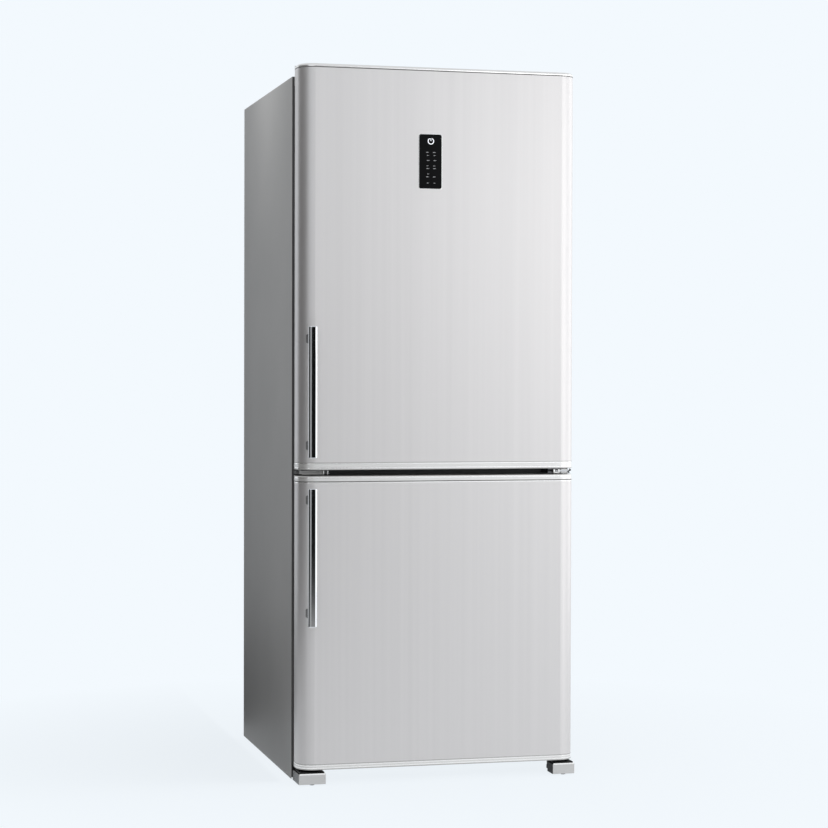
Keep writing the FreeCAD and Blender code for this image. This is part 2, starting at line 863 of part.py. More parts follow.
def drip_tray():
    """Shallow pan under the coil for the melted frost."""
    z = (tray_top, tray_top + d.drip_height)
    x = (condenser_x, condenser_x + condenser_length)
    y_back = condenser_y - d.condenser_tube * 2
    y = (y_back - d.drip_depth, y_back)
    keep("drip_tray", open_box(x, y, z, d.drip_wall, d.drip_wall))


COVER_SLOT_ROWS = 9


def rear_cover():
    """Louvred cover of the machine compartment."""
    side = half - d.sheet
    y = (rear - d.tray_margin, rear - d.tray_margin + d.tray_sheet)
    cover = box((-side, side), y, (d.tray_height, d.machine_height))
    slots = []
    for row in range(COVER_SLOT_ROWS):
        z = d.tray_height + d.cover_margin + d.cover_slot_pitch * row
        for centre in (-(half / 2), half / 2):
            slots.append(
                box(
                    (centre - d.cover_slot_width / 2, centre + d.cover_slot_width / 2),
                    (y[0] - d.overrun, y[1] + d.overrun),
                    (z, z + d.cover_slot_height),
                )
            )
    hole = box(
        (inlet_x - d.inlet_width / 2 + d.ear_sheet, inlet_x + d.inlet_width / 2 - d.ear_sheet),
        (y[0] - d.overrun, y[1] + d.overrun),
        (d.inlet_level + d.ear_sheet, d.inlet_level + d.inlet_height - d.ear_sheet),
    )
    keep("rear_cover", group(cut(cover, *slots, hole), mains_inlet()))


inlet_x = ZERO


def mains_inlet():
    """Gland where the supply lead would enter, clipped into the middle of the rear cover."""
    y = rear - d.tray_margin + d.tray_sheet
    flange = box(
        (inlet_x - d.inlet_width / 2, inlet_x + d.inlet_width / 2),
        (y, y + d.ear_sheet),
        (d.inlet_level, d.inlet_level + d.inlet_height),
    )
    centre_z = d.inlet_level + d.inlet_height / 2
    nose = rod(
        "y", (inlet_x, y, centre_z), d.inlet_height / 3, d.tray_margin - d.tray_sheet
    )
    bore = rod("y", (inlet_x, y - d.overrun, centre_z), d.inlet_bore, d.overrun * 3)
    return cut(fuse(flange, nose), bore)


def control_board():
    """Main board on four bosses in its recess behind the rear sheet."""
    z = (control_level + d.control_boss, control_level + d.control_height - d.control_boss)
    x = (control_left + d.control_boss, control_left + d.control_width - d.control_boss)
    y = rear - d.control_recess
    plate = box(x, (y + d.control_boss, y + d.control_boss + d.control_board), z)
    parts = [plate]
    for boss_x in (x[0] + d.control_boss, x[1] - d.control_boss):
        for boss_z in (z[0] + d.control_boss, z[1] - d.control_boss):
            parts.append(rod("y", (boss_x, y, boss_z), d.control_boss / 3, d.control_boss))
    keep("control_board", fuse(*parts))


# Cold side of the freezer


GRILLE_ROWS = 4


def freezer_back_panel():
    """Cover in front of the evaporator, with the fan's opening and air slots."""
    y = (cold_panel_y, cold_panel_y + d.cold_panel)
    z = (freezer_step_z, freezer_roof)
    panel = box((-freezer_half, freezer_half), y, z)
    hole = rod(
        "y", (ZERO, y[0] - d.overrun, fan_level), d.fan_radius + d.fan_hole_margin,
        d.overrun * 2,
    )
    slots = []
    for side in (-1, 1):
        for row in range(GRILLE_ROWS):
            centre = freezer_half * side / 2
            low = freezer_step_z + d.duct_end_gap + d.grille_slot_height * 2 * row
            slots.append(
                box(
                    (centre - d.grille_slot_width / 2, centre + d.grille_slot_width / 2),
                    (y[0] - d.overrun, y[1] + d.overrun),
                    (low, low + d.grille_slot_height),
                )
            )
    keep("freezer_back_panel", cut(panel, hole, *slots))


fan_middle_y = cold_panel_y + d.cold_panel / 2


def fan_motor():
    """Motor behind the fan's opening, on three arms fixed to the panel."""
    start = fan_middle_y + d.fan_depth / 2 + d.fan_shaft_radius
    motor = rod("y", (ZERO, start, fan_level), d.motor_radius, d.motor_depth)
    shaft = rod(
        "y", (ZERO, fan_middle_y - d.fan_depth / 2, fan_level), d.fan_shaft_radius,
        start - fan_middle_y + d.fan_depth / 2,
    )
    reach = d.fan_radius + d.fan_hole_margin + d.motor_arm
    panel_back = cold_panel_y + d.cold_panel
    bar = box(
        (-reach, reach),
        (start + d.fan_shaft_radius, start + d.fan_shaft_radius + d.motor_arm),
        (fan_level - d.motor_arm / 2, fan_level + d.motor_arm / 2),
    )
    parts = [motor, shaft, bar]
    for x in ((-reach, d.motor_arm - reach), (reach - d.motor_arm, reach)):
        parts.append(
            box(
                x,
                (panel_back, start + d.fan_shaft_radius + d.motor_arm),
                (fan_level - d.motor_arm / 2, fan_level + d.motor_arm / 2),
            )
        )
    keep("fan_motor", fuse(*parts))


def fan_blades():
    """Hub with seven flat blades, each pitched about its own radius."""
    depth = d.fan_depth.value
    hub_radius, blade = d.fan_hub_radius.value, d.fan_blade.value
    bore = (d.fan_shaft_radius + d.pin_clearance).value
    reach = d.fan_radius.value
    hub = Part.makeCylinder(
        hub_radius, depth, FreeCAD.Vector(0, -depth / 2, 0), FreeCAD.Vector(0, 1, 0)
    )
    shape = hub
    for number in range(BLADES):
        inner = hub_radius / 2
        wing = Part.makeBox(
            reach - inner, blade, hub_radius * 2,
            FreeCAD.Vector(inner, -blade / 2, -hub_radius),
        )
        wing.rotate(FreeCAD.Vector(), FreeCAD.Vector(1, 0, 0), BLADE_PITCH)
        rim = Part.makeCylinder(
            reach, depth, FreeCAD.Vector(0, -depth / 2, 0), FreeCAD.Vector(0, 1, 0)
        )
        wing = wing.common(rim)
        wing.rotate(FreeCAD.Vector(), FreeCAD.Vector(0, 1, 0), 360 * number / BLADES)
        shape = shape.fuse(wing)
    hole = Part.makeCylinder(
        bore, depth * 2, FreeCAD.Vector(0, -depth, 0), FreeCAD.Vector(0, 1, 0)
    )
    item = new("Part::Feature", "fan")
    item.Shape = shape.cut(hole).removeSplitter()
    item.Placement = FreeCAD.Placement(
        FreeCAD.Vector(0, fan_middle_y.value, fan_level.value), FreeCAD.Rotation()
    )
    keep("fan_blades", item)


BLADES = 7
BLADE_PITCH = 50
TUBE_ROWS = 4


def evaporator():
    """Finned block: upright fins on rows of straight tubes, hung on two end plates."""
    width = (freezer_half - d.evaporator_side_gap) * 2
    y_middle = cold_panel_y + d.cold_panel_gap / 2
    y = (y_middle - d.evaporator_depth / 2, y_middle + d.evaporator_depth / 2)
    z = (freezer_step_z + d.evaporator_rise, fan_level - d.evaporator_head_gap)
    count = int(round(width.value / d.fin_pitch.value)) + 1
    parts = []
    for number in range(count):
        x = width * (number / (count - 1)) - width / 2
        if number in (0, count - 1):
            parts.append(box((x - d.fin, x + d.fin), (y[0], liner_back), z))
        else:
            parts.append(box((x - d.fin / 2, x + d.fin / 2), y, z))
    for row in range(TUBE_ROWS):
        level = z[0] + (z[1] - z[0]) * ((row + 0.5) / TUBE_ROWS)
        for side in (-1, 1):
            tube_y = y_middle + d.evaporator_depth * side / 4
            parts.append(
                rod(
                    "x", (-width / 2 - d.fin * 3, tube_y, level), d.tube_radius,
                    width + d.fin * 6,
                )
            )
    keep("evaporator", fuse(*parts))


# Fridge compartment


def air_duct():
    """Long cover down the rear wall, with outlet slots at each shelf."""
    y = (liner_back - d.duct_depth, liner_back)
    z = (shelf_levels[0] + d.duct_end_gap, fridge_roof - d.duct_end_gap)
    block = rounded(
        box((-d.duct_width / 2, d.duct_width / 2), y, z), d.tray_margin, along("z", ("y", y[0]))
    )
    hollow = box(
        (d.liner_wall - d.duct_width / 2, d.duct_width / 2 - d.liner_wall),
        (y[0] + d.liner_wall + d.tray_margin, y[1] + d.overrun),
        (z[0] + d.liner_wall, z[1] - d.liner_wall),
    )
    slots = []
    for level in shelf_levels[1:]:
        low = level + d.duct_end_gap
        for side in (-1, 1):
            centre = d.duct_width * side / 4
            slots.append(
                box(
                    (centre - d.duct_slot_width / 2, centre + d.duct_slot_width / 2),
                    (y[0] - d.overrun, y[0] + d.overrun),
                    (low, low + d.duct_slot_height),
                )
            )
    keep("air_duct", cut(block, hollow, *slots))


def cabin_lamp():
    lamp = box(
        (-d.lamp_length / 2, d.lamp_length / 2),
        (shelf_front, shelf_front + d.lamp_width),
        (fridge_roof - d.lamp_drop, fridge_roof),
    )
    lamp = rounded(lamp, d.lamp_drop, along("z"))
    keep("cabin_lamp", lamp)


def shelves():
    """Glass panes, each held by a front and a rear bar that lie on the liner's ledges."""
    names = ("crisper_cover", "shelf_lower", "shelf_middle", "shelf_upper")
    side = fridge_half - d.shelf_side_gap
    bars = []
    for name, level in zip(names, shelf_levels):
        middle = level + d.shelf_bar_height / 2
        pane_z = (middle - d.glass / 2, middle + d.glass / 2)
        pane_y = (
            shelf_front + d.shelf_bar - d.shelf_groove,
            shelf_back - d.shelf_bar + d.shelf_groove,
        )
        pane = box((-side, side), pane_y, pane_z)
        keep(name, pane)
        groove = box(
            (-half, half), (pane_y[0], pane_y[1]), (pane_z[0], pane_z[1])
        )
        for y in (
            (shelf_front, shelf_front + d.shelf_bar),
            (shelf_back - d.shelf_bar, shelf_back),
        ):
            bar = box((-side, side), y, (level, level + d.shelf_bar_height))
            bars.append(cut(bar, groove))
    keep("shelf_frames", group(*bars))


def crispers():
    """Two clear drawers side by side on the floor, each with a pull lip at its top."""
    z = (fridge_floor + d.seat_gap, shelf_levels[0] - d.crisper_head_gap)
    y = (crisper_front_y, crisper_front_y + crisper_depth)
    for label, x in (
        ("crisper_left", (-crisper_half, -d.crisper_middle_gap)),
        ("crisper_right", (d.crisper_middle_gap, crisper_half)),
    ):
        tub = open_box(x, y, z, d.drawer_wall, d.drawer_front)
        notch = box(
            (x[0] + crisper_half / 4, x[1] - crisper_half / 4),
            (y[0] - d.overrun, y[0] + d.drawer_front + d.drawer_wall),
            (z[1] - d.drawer_lip_height, z[1] + d.overrun),
        )
        keep(label, cut(tub, notch))


def freezer_drawers():
    """Three drawers; the lowest is short because of the machine compartment."""
    names = ("freezer_drawer_lower", "freezer_drawer_middle", "freezer_drawer_upper")
    for step, (label, level) in enumerate(zip(names, drawer_levels)):
        depth, height = drawer_depth, drawer_height
        if step == 0:
            depth, height = lower_drawer_depth, lower_drawer_height
        x = (-drawer_half, drawer_half)
        y = (drawer_front_y, drawer_front_y + depth)
        z = (level, level + height)
        tub = open_box(x, y, z, d.drawer_wall, d.drawer_front)
        pull = box(
            (-(drawer_half / 2), drawer_half / 2),
            (y[0] - d.overrun, y[0] + d.drawer_front + d.drawer_wall),
            (z[1] - d.drawer_lip_height, z[1] + d.overrun),
        )
        keep(label, cut(tub, pull))


# Hinges


def top_hinge():
    """Plate on the cabinet's top whose arm reaches over the recess, with a pin down."""
    z = (cabinet_top, cabinet_top + d.hinge_plate)
    plate = box(
        (hinge_x - d.hinge_plate_width / 2, half - d.hinge_plate_drop),
        (cabinet_front, cabinet_front + d.top_hinge_length), z,
    )
    arm = box(
        (hinge_x - d.hinge_arm_half, hinge_x + d.hinge_arm_half), (hinge_y, cabinet_front), z
    )
    eye = rod("z", (hinge_x, hinge_y, z[0]), d.hinge_arm_half, d.hinge_plate)
    pin = rod(
        "z", (hinge_x, hinge_y, recess_floor - d.hinge_pin_depth), d.hinge_pin_radius,
        z[1] - recess_floor + d.hinge_pin_depth,
    )
    keep("top_hinge", fuse(plate, arm, eye, pin))


recess_floor = d.overall_height - d.recess_depth


def top_hinge_cover():
    """Low cover over the hinge plate and its wires, open below."""
    x = (half - d.hinge_cover_width, half - d.hinge_plate_drop / 2)
    y = (cabinet_front, cabinet_front + d.hinge_cover_length)
    z = (cabinet_top, cabinet_top + d.hinge_cover_height)
    block = rounded(box(x, y, z), d.display_corner, along("z"))
    room = box(
        (x[0] + d.liner_wall, x[1] - d.liner_wall),
        (y[0] - d.overrun, y[1] - d.liner_wall),
        (z[0] - d.overrun, z[1] - d.liner_wall),
    )
    keep("top_hinge_cover", cut(block, room))


def leaf_hinge(label, plate_z, leg_z, pin_z):
    """Plate under a door with a leg screwed to the cabinet and one upright pin."""
    x = (hinge_x - d.hinge_plate_width / 2, half - d.hinge_plate_drop)
    plate = box(x, (hinge_y - d.hinge_arm_half * 1.5, cabinet_front), plate_z)
    plate = rounded(plate, d.hinge_arm_half, along("z", ("y", hinge_y - d.hinge_arm_half * 1.5)))
    leg = box(x, (cabinet_front - d.hinge_plate, cabinet_front), leg_z)
    pin = rod("z", (hinge_x, hinge_y, pin_z[0]), d.hinge_pin_radius, pin_z[1] - pin_z[0])
    keep(label, fuse(plate, leg, pin))


def hinges():
    top_hinge()
    middle = (gap_middle - d.hinge_plate / 2, gap_middle + d.hinge_plate / 2)
    rise = d.door_gap / 2 - d.seat_gap * 2
    leaf_hinge(
        "middle_hinge", middle, (gap_middle - rise, gap_middle + rise),
        (freezer_door_top - d.hinge_pin_depth, fridge_door_bottom + d.hinge_pin_depth),
    )
    low = (d.door_underside - d.hinge_plate * 2, d.door_underside - d.hinge_plate)
    leaf_hinge(
        "lower_hinge", low, (low[1] - d.hinge_leg_height, low[1]),
        (low[0], d.door_underside + d.hinge_pin_depth),
    )


def hinge_screws():
    """Screw heads on the three hinges."""
    heads = []
    for share in SCREW_SHARES:
        x = hinge_x - d.hinge_plate_width / 2 + d.hinge_plate_width * share
        y = cabinet_front + d.top_hinge_length * share
        heads.append(
            rod(
                "z", (x, y, cabinet_top + d.hinge_plate), d.screw_radius, d.screw_head
            )
        )
        leg_front = cabinet_front - d.hinge_plate - d.screw_head
        heads.append(rod("y", (x, leg_front, lower_screw_z), d.screw_radius, d.screw_head))
    keep("hinge_screws", group(*heads))


SCREW_SHARES = (0.3, 0.7)
lower_screw_z = d.door_underside - d.hinge_leg_height + d.screw_radius / 2


def gap_cover():
    """Grey blank at the left end of the gap, where a hinge would go for the other hand."""
    x = (-door_half, d.gap_cover_width - door_half)
    y = (cabinet_front - d.gap_cover_reach, cabinet_front)
    z = (gap_middle - d.gap_cover_height / 2, gap_middle + d.gap_cover_height / 2)
    block = rounded(box(x, y, z), d.gap_cover_height, along("z", ("y", y[0])))
    keep("gap_cover", block)


# Doors


def recess_room(wall):
    """The pocket in the upper door's rear corner that the hinge arm turns in, wall included."""
    return box(
        (hinge_x - d.hinge_arm_half - d.recess_margin - wall, door_half + d.overrun),
        (hinge_y - d.recess_front - wall, door_rear + d.overrun),
        (recess_floor - wall, d.overall_height + d.overrun),
    )


def pin_bores(z):
    """Holes for the hinge pins at both ends of a door."""
    reach = d.hinge_pin_depth + d.pin_clearance
    radius = d.hinge_pin_radius + d.pin_clearance
    return [
        rod("z", (hinge_x, hinge_y, z[0] - d.overrun), radius, reach + d.overrun),
        rod("z", (hinge_x, hinge_y, z[1] - reach), radius, reach + d.overrun),
    ]


def door(prefix, z, caps, inside, seal, plate_z, top_recess, front_holes):
    """Skin, end caps, foam, inner liner and gasket of one door."""
    skin_z = (z[0] + caps[0], z[1] - caps[1])
    pin_top = recess_floor if top_recess else z[1]
    bores = pin_bores((z[0], pin_top))
    pockets = [recess_room(ZERO)] if top_recess else []
    outer = door_block(ZERO, door_face, door_rear, skin_z)
    inner = door_block(
        d.door_sheet, door_face + d.door_sheet, door_rear - d.door_sheet, skin_z
    )
    mouth = box(
        (d.return_flange - door_half, door_half - d.return_flange),
        (door_rear - d.overrun, door_rear + d.overrun),
        skin_z,
    )
    keep(f"{prefix}_skin", cut(outer, inner, mouth, *pockets, *front_holes))

    foam_front = door_face + d.door_sheet
    foam = door_block(d.door_sheet, foam_front, door_rear - d.door_sheet, skin_z)
    side = door_half - d.return_flange
    fill = box((-side, side), (door_rear - d.door_sheet * 2, door_rear), skin_z)
    filling = fuse(foam, fill)
    linings = [common(filling, recess_room(d.liner_wall))] if top_recess else []
    keep(f"{prefix}_foam", cut(filling, *bores, *linings, *pockets, *front_holes))

    heel_y = (door_rear, door_rear + d.cap_overhang)
    for end, (low, high) in (("bottom", (z[0], skin_z[0])), ("top", (skin_z[1], z[1]))):
        cap = door_block(ZERO, door_face, door_rear, (low, high))
        crown = top_recess and end == "top"
        rim = d.crown_round if crown else d.cap_edge_round
        cap = rounded_rim(cap, rim, z[0] if end == "bottom" else z[1])
        heel_low = high - d.cap_skirt_height if crown else low
        heels = [
            box((-door_half, d.cap_skirt_width - door_half), heel_y, (heel_low, high)),
            box((door_half - d.cap_skirt_width, door_half), heel_y, (low, high)),
        ]
        walls = linings if crown else []
        keep(f"{prefix}_{end}_cap", cut(fuse(cap, *heels, *walls), *bores, *pockets))

    liner_y = (door_rear, door_rear + d.door_liner_plate)
    plate_side = side - d.seat_gap
    plate = box((-plate_side, plate_side), liner_y, plate_z)
    keep(f"{prefix}_liner", cut(fuse(plate, *inside), *pockets))

    seal_box = frame_ring(
        (d.seal_inset - door_half, door_half - d.seal_inset),
        (liner_y[1], cabinet_front - d.seat_gap), seal, d.seal_width,
    )
    keep(f"{prefix}_gasket", seal_box)


def rounded_rim(base, radius, level):
    """Soften the rim of a cap at one level, on its front and sides."""
    doc.recompute()
    item = new("Part::Fillet", "rim")
    item.Base = base
    picked = []
    back = door_rear.value
    for index, edge in enumerate(base.Shape.Edges, start=1):
        bounds = edge.BoundBox
        flat = bounds.ZMax - bounds.ZMin < SHORT and abs(bounds.ZMax - level.value) < SHORT
        at_back = bounds.YMin > back - SHORT
        if flat and not at_back:
            picked.append((index, radius.value, radius.value))
    item.Edges = picked
    return item


def fridge_door():
    z = (fridge_door_bottom, d.overall_height)
    seal = (fridge_door_bottom + d.seal_rail_inset, cabinet_top - d.seal_top_drop)
    y = (door_rear, door_rear + d.dyke_rise)
    ring = frame_ring((-dyke_half, dyke_half), y, dyke_z, d.dyke_width)
    lugs = []
    for bottom in bin_floors:
        inner = dyke_half - d.dyke_width
        for x in ((-inner, d.lug_reach - inner), (inner - d.lug_reach, inner)):
            lugs.append(
                box(
                    x,
                    (door_rear, door_rear + d.lug_length),
                    (bottom - d.seat_gap - d.lug_height, bottom - d.seat_gap),
                )
            )
    seat = display_seat()
    caps = (d.fridge_bottom_cap, d.fridge_top_cap)
    plate_z = (seal[0], z[1] - caps[1])
    door("fridge_door", z, caps, [ring, *lugs], seal, plate_z, True, [seat])


def freezer_door():
    z = (d.door_underside, freezer_door_top)
    seal = (d.door_underside + d.seal_base_rise, freezer_door_top - d.seal_rail_inset)
    plateau = box(
        (-dyke_half, dyke_half),
        (door_rear, door_rear + d.plateau_rise),
        (freezer_floor + d.dyke_end_gap, freezer_roof - d.dyke_end_gap),
    )
    plateau = rounded(plateau, d.dyke_end_gap, along("y"))
    caps = (d.freezer_bottom_cap, d.freezer_top_cap)
    plate_z = (z[0] + caps[0], seal[1])
    door("freezer_door", z, caps, [plateau], seal, plate_z, False, [])


display_x = (d.display_left, d.display_left + d.display_width)
display_top = d.overall_height - d.display_drop
display_z = (display_top - d.display_height, display_top)


def display_seat():
    """Opening in the skin and foam for the display's body."""
    wall = d.display_corner
    return box(
        (display_x[0] + wall, display_x[1] - wall),
        (door_face - d.overrun, door_face + d.control_recess / 2),
        (display_z[0] + wall, display_z[1] - wall),
    )


def display_panel():
    """Glossy control panel: a rounded plate on the door with its body let into it."""
    corners = [
        (display_x[0], display_z[0], d.display_corner),
        (display_x[1], display_z[0], d.display_corner),
        (display_x[1], display_z[1], d.display_corner),
        (display_x[0], display_z[1], d.display_corner),
    ]
    plate = pad("XZ_Plane", corners, d.display_proud, y=door_face)
    wall = d.display_corner + d.seat_gap
    body = box(
        (display_x[0] + wall, display_x[1] - wall),
        (door_face, door_face + d.control_recess / 2 - d.seat_gap),
        (display_z[0] + wall, display_z[1] - wall),
    )
    keep("display_panel", fuse(plate, body))


def door_bins():
    inner = dyke_half - d.dyke_width - d.bin_side_gap
    names = ("door_bin_lower", "door_bin_middle", "door_bin_upper")
    heights = (d.bin_lower_height, d.bin_middle_height, d.bin_upper_height)
    y = (
        door_rear + d.door_liner_plate + d.seat_gap,
        door_rear + d.door_liner_plate + d.bin_depth,
    )
    for name, floor, height in zip(names, bin_floors, heights):
        tub = open_box((-inner, inner), y, (floor, floor + height), d.bin_wall, d.bin_wall)
        tub = rounded(tub, d.display_corner, along("z", ("y", y[1])))
        keep(name, tub)


def handle(prefix, bottom, length):
    """Upright bar with softly rounded section, and the two posts that carry it."""
    left = d.handle_inset - door_half
    front = door_face - d.handle_reach
    back = front + d.handle_thickness
    corners = [
        (left, front, d.handle_corner),
        (left + d.handle_width, front, d.handle_corner),
        (left + d.handle_width, back, d.handle_corner),
        (left, back, d.handle_corner),
    ]
    keep(f"{prefix}_handle", pad("XY_Plane", corners, length, z=bottom))
    post_left = left + (d.handle_width - d.post_width) / 2
    door_shape = door_block(ZERO, door_face, door_rear, (bottom, bottom + length))
    posts = []
    for low in (bottom + d.post_end, bottom + length - d.post_end - d.post_height):
        post = box(
            (post_left, post_left + d.post_width),
            (back, door_face + d.edge_radius / 2),
            (low, low + d.post_height),
        )
        post = rounded(post, d.post_width / 4, along("y"))
        posts.append(cut(post, door_shape))
    keep(f"{prefix}_handle_posts", group(*posts))


def build():
    cabinet_shell()
    back_panel()
    cabinet_foam()
    fridge_liner()
    freezer_liner()
    front_cross_rail()
    base_rail()
    foot_covers()
    gap_cover()
    hinges()
    hinge_screws()
    top_hinge_cover()
    compressor_tray()
    compressor()
    condenser_coil()
    drip_tray()
    rear_cover()
    control_board()
    evaporator()
    freezer_back_panel()
    fan_motor()
    fan_blades()
    air_duct()
    cabin_lamp()
    shelves()
    crispers()
    freezer_drawers()
    fridge_door()
    freezer_door()
    display_panel()
    door_bins()
    handle("fridge", fridge_door_bottom + d.fridge_handle_rise, d.fridge_handle_length)
    freezer_handle_top = freezer_door_top - d.freezer_handle_drop
    handle("freezer", freezer_handle_top - d.freezer_handle_length, d.freezer_handle_length)
    feet()
    rollers()


def check():
    """Every object must have rebuilt, and every kept shape must be a sound solid."""
    faults = []
    for item in doc.Objects:
        if "Invalid" in item.State or "Error" in item.State:
            faults.append(f"{item.Label}: {item.State}")
    for item in nodes:
        if item.Shape.isNull() or not item.Shape.isValid() or not item.Shape.Solids:
            faults.append(f"{item.Label}: its shape is not a valid solid")
    if faults:
        raise RuntimeError("; ".join(faults))


build()
doc.recompute()
check()
os.makedirs("parts", exist_ok=True)
for item in nodes:
    item.Shape.exportStep(f"parts/{item.Label}.step")
    print(item.Label, len(item.Shape.Solids), round(item.Shape.Volume))
print(len(nodes), "pieces")
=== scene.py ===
import json
import math

import bmesh
import bpy
from mathutils import Matrix, Vector

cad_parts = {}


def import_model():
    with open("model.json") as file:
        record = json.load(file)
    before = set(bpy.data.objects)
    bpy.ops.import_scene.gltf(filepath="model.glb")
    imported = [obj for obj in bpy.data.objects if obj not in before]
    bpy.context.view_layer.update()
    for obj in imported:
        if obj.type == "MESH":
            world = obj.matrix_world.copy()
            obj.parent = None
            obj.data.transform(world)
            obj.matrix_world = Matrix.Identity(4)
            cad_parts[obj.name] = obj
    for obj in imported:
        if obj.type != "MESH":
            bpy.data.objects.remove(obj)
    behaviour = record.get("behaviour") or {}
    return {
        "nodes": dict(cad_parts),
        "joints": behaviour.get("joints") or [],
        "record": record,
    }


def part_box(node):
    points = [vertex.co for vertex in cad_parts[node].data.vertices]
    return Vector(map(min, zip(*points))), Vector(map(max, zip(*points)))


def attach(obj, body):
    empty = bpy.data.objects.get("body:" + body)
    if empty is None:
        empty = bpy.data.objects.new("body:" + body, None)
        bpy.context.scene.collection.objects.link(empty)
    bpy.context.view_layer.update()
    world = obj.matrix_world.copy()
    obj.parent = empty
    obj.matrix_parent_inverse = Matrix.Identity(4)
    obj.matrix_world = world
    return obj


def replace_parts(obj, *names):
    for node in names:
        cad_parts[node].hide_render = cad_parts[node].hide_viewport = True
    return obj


# A refrigerator dressed for its picture. Pieces are drawn in millimetres in the frame
# of the CAD model and turned into metres when their mesh is made.

MM = 0.001
LEVELS = ("lower", "middle", "upper")

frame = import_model()
NODES = frame["nodes"]
SLOTS = {row["node"]: row["material_slot"] for row in frame["record"]["subparts"]}
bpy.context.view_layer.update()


def span(node):
    """Lowest and highest corner of a CAD node, in millimetres."""
    low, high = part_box(node)
    return low / MM, high / MM


def joint_place(name):
    """Where the record puts a joint, in metres."""
    return Vector(next(row for row in frame["joints"] if row["name"] == name)["pos_m"])


# Finishes

BRUSHED = (1.0, 1.0, 0.006)
SIDEWAYS = (0.01, 1.0, 1.0)
TINT_STOPS = (0.3, 0.7)
FINE_DETAIL, BROAD_DETAIL = 3.0, 4.0


def nodes_of(material):
    """The node tree of a material and its shader."""
    tree = material.node_tree
    return tree, tree.nodes["Principled BSDF"]


def pattern(material, stretch, scale, detail):
    """Noise in the piece's own coordinates, stretched along some axes."""
    tree, _ = nodes_of(material)
    place = tree.nodes.new("ShaderNodeTexCoord")
    mapping = tree.nodes.new("ShaderNodeMapping")
    mapping.inputs["Scale"].default_value = stretch
    noise = tree.nodes.new("ShaderNodeTexNoise")
    noise.inputs["Scale"].default_value = scale
    noise.inputs["Detail"].default_value = detail
    tree.links.new(place.outputs["Object"], mapping.inputs["Vector"])
    tree.links.new(mapping.outputs["Vector"], noise.inputs["Vector"])
    return noise.outputs[0]


def tint(material, factor, dark, light):
    """Colour that wanders between two tones."""
    tree, shader = nodes_of(material)
    ramp = tree.nodes.new("ShaderNodeValToRGB")
    for stop, where, colour in zip(ramp.color_ramp.elements, TINT_STOPS, (dark, light)):
        stop.position = where
        stop.color = (*colour, 1)
    tree.links.new(factor, ramp.inputs["Fac"])
    tree.links.new(ramp.outputs["Color"], shader.inputs["Base Color"])


def polish(material, factor, low, high):
    """Roughness that wanders between two values."""
    tree, shader = nodes_of(material)
    between = tree.nodes.new("ShaderNodeMapRange")
    between.inputs["To Min"].default_value = low
    between.inputs["To Max"].default_value = high
    tree.links.new(factor, between.inputs["Value"])
    tree.links.new(between.outputs["Result"], shader.inputs["Roughness"])


def relief(material, factor, depth):
    """Fine relief of the surface; the depth is in millimetres."""
    tree, shader = nodes_of(material)
    bump = tree.nodes.new("ShaderNodeBump")
    bump.inputs["Distance"].default_value = depth * MM
    bump.inputs["Strength"].default_value = 1.0
    tree.links.new(factor, bump.inputs["Height"])
    tree.links.new(bump.outputs["Normal"], shader.inputs["Normal"])


def finish(name, colour, change, rough, stretch=(1, 1, 1), grain=300, depth=0.02, cloud=6.0,
           **sockets):
    """A material: grain in relief and roughness, and a broad slow change of tone."""
    material = bpy.data.materials.new(name)
    material.use_nodes = True
    _, shader = nodes_of(material)
    for socket, value in sockets.items():
        shader.inputs[socket.replace("_", " ")].default_value = value
    fine = pattern(material, stretch, grain, FINE_DETAIL)
    broad = pattern(material, stretch, cloud, BROAD_DETAIL)
    dark = [part * (1 - change) for part in colour]
    light = [min(1.0, part * (1 + change)) for part in colour]
    tint(material, broad, dark, light)
    polish(material, fine, *rough)
    if depth:
        relief(material, fine, depth)
    return material


def finishes(**rows):
    """Materials by name; a row holds a colour, its change, two roughnesses and the rest."""
    return {name: finish(name, *row[:3], **row[3]) for name, row in rows.items()}


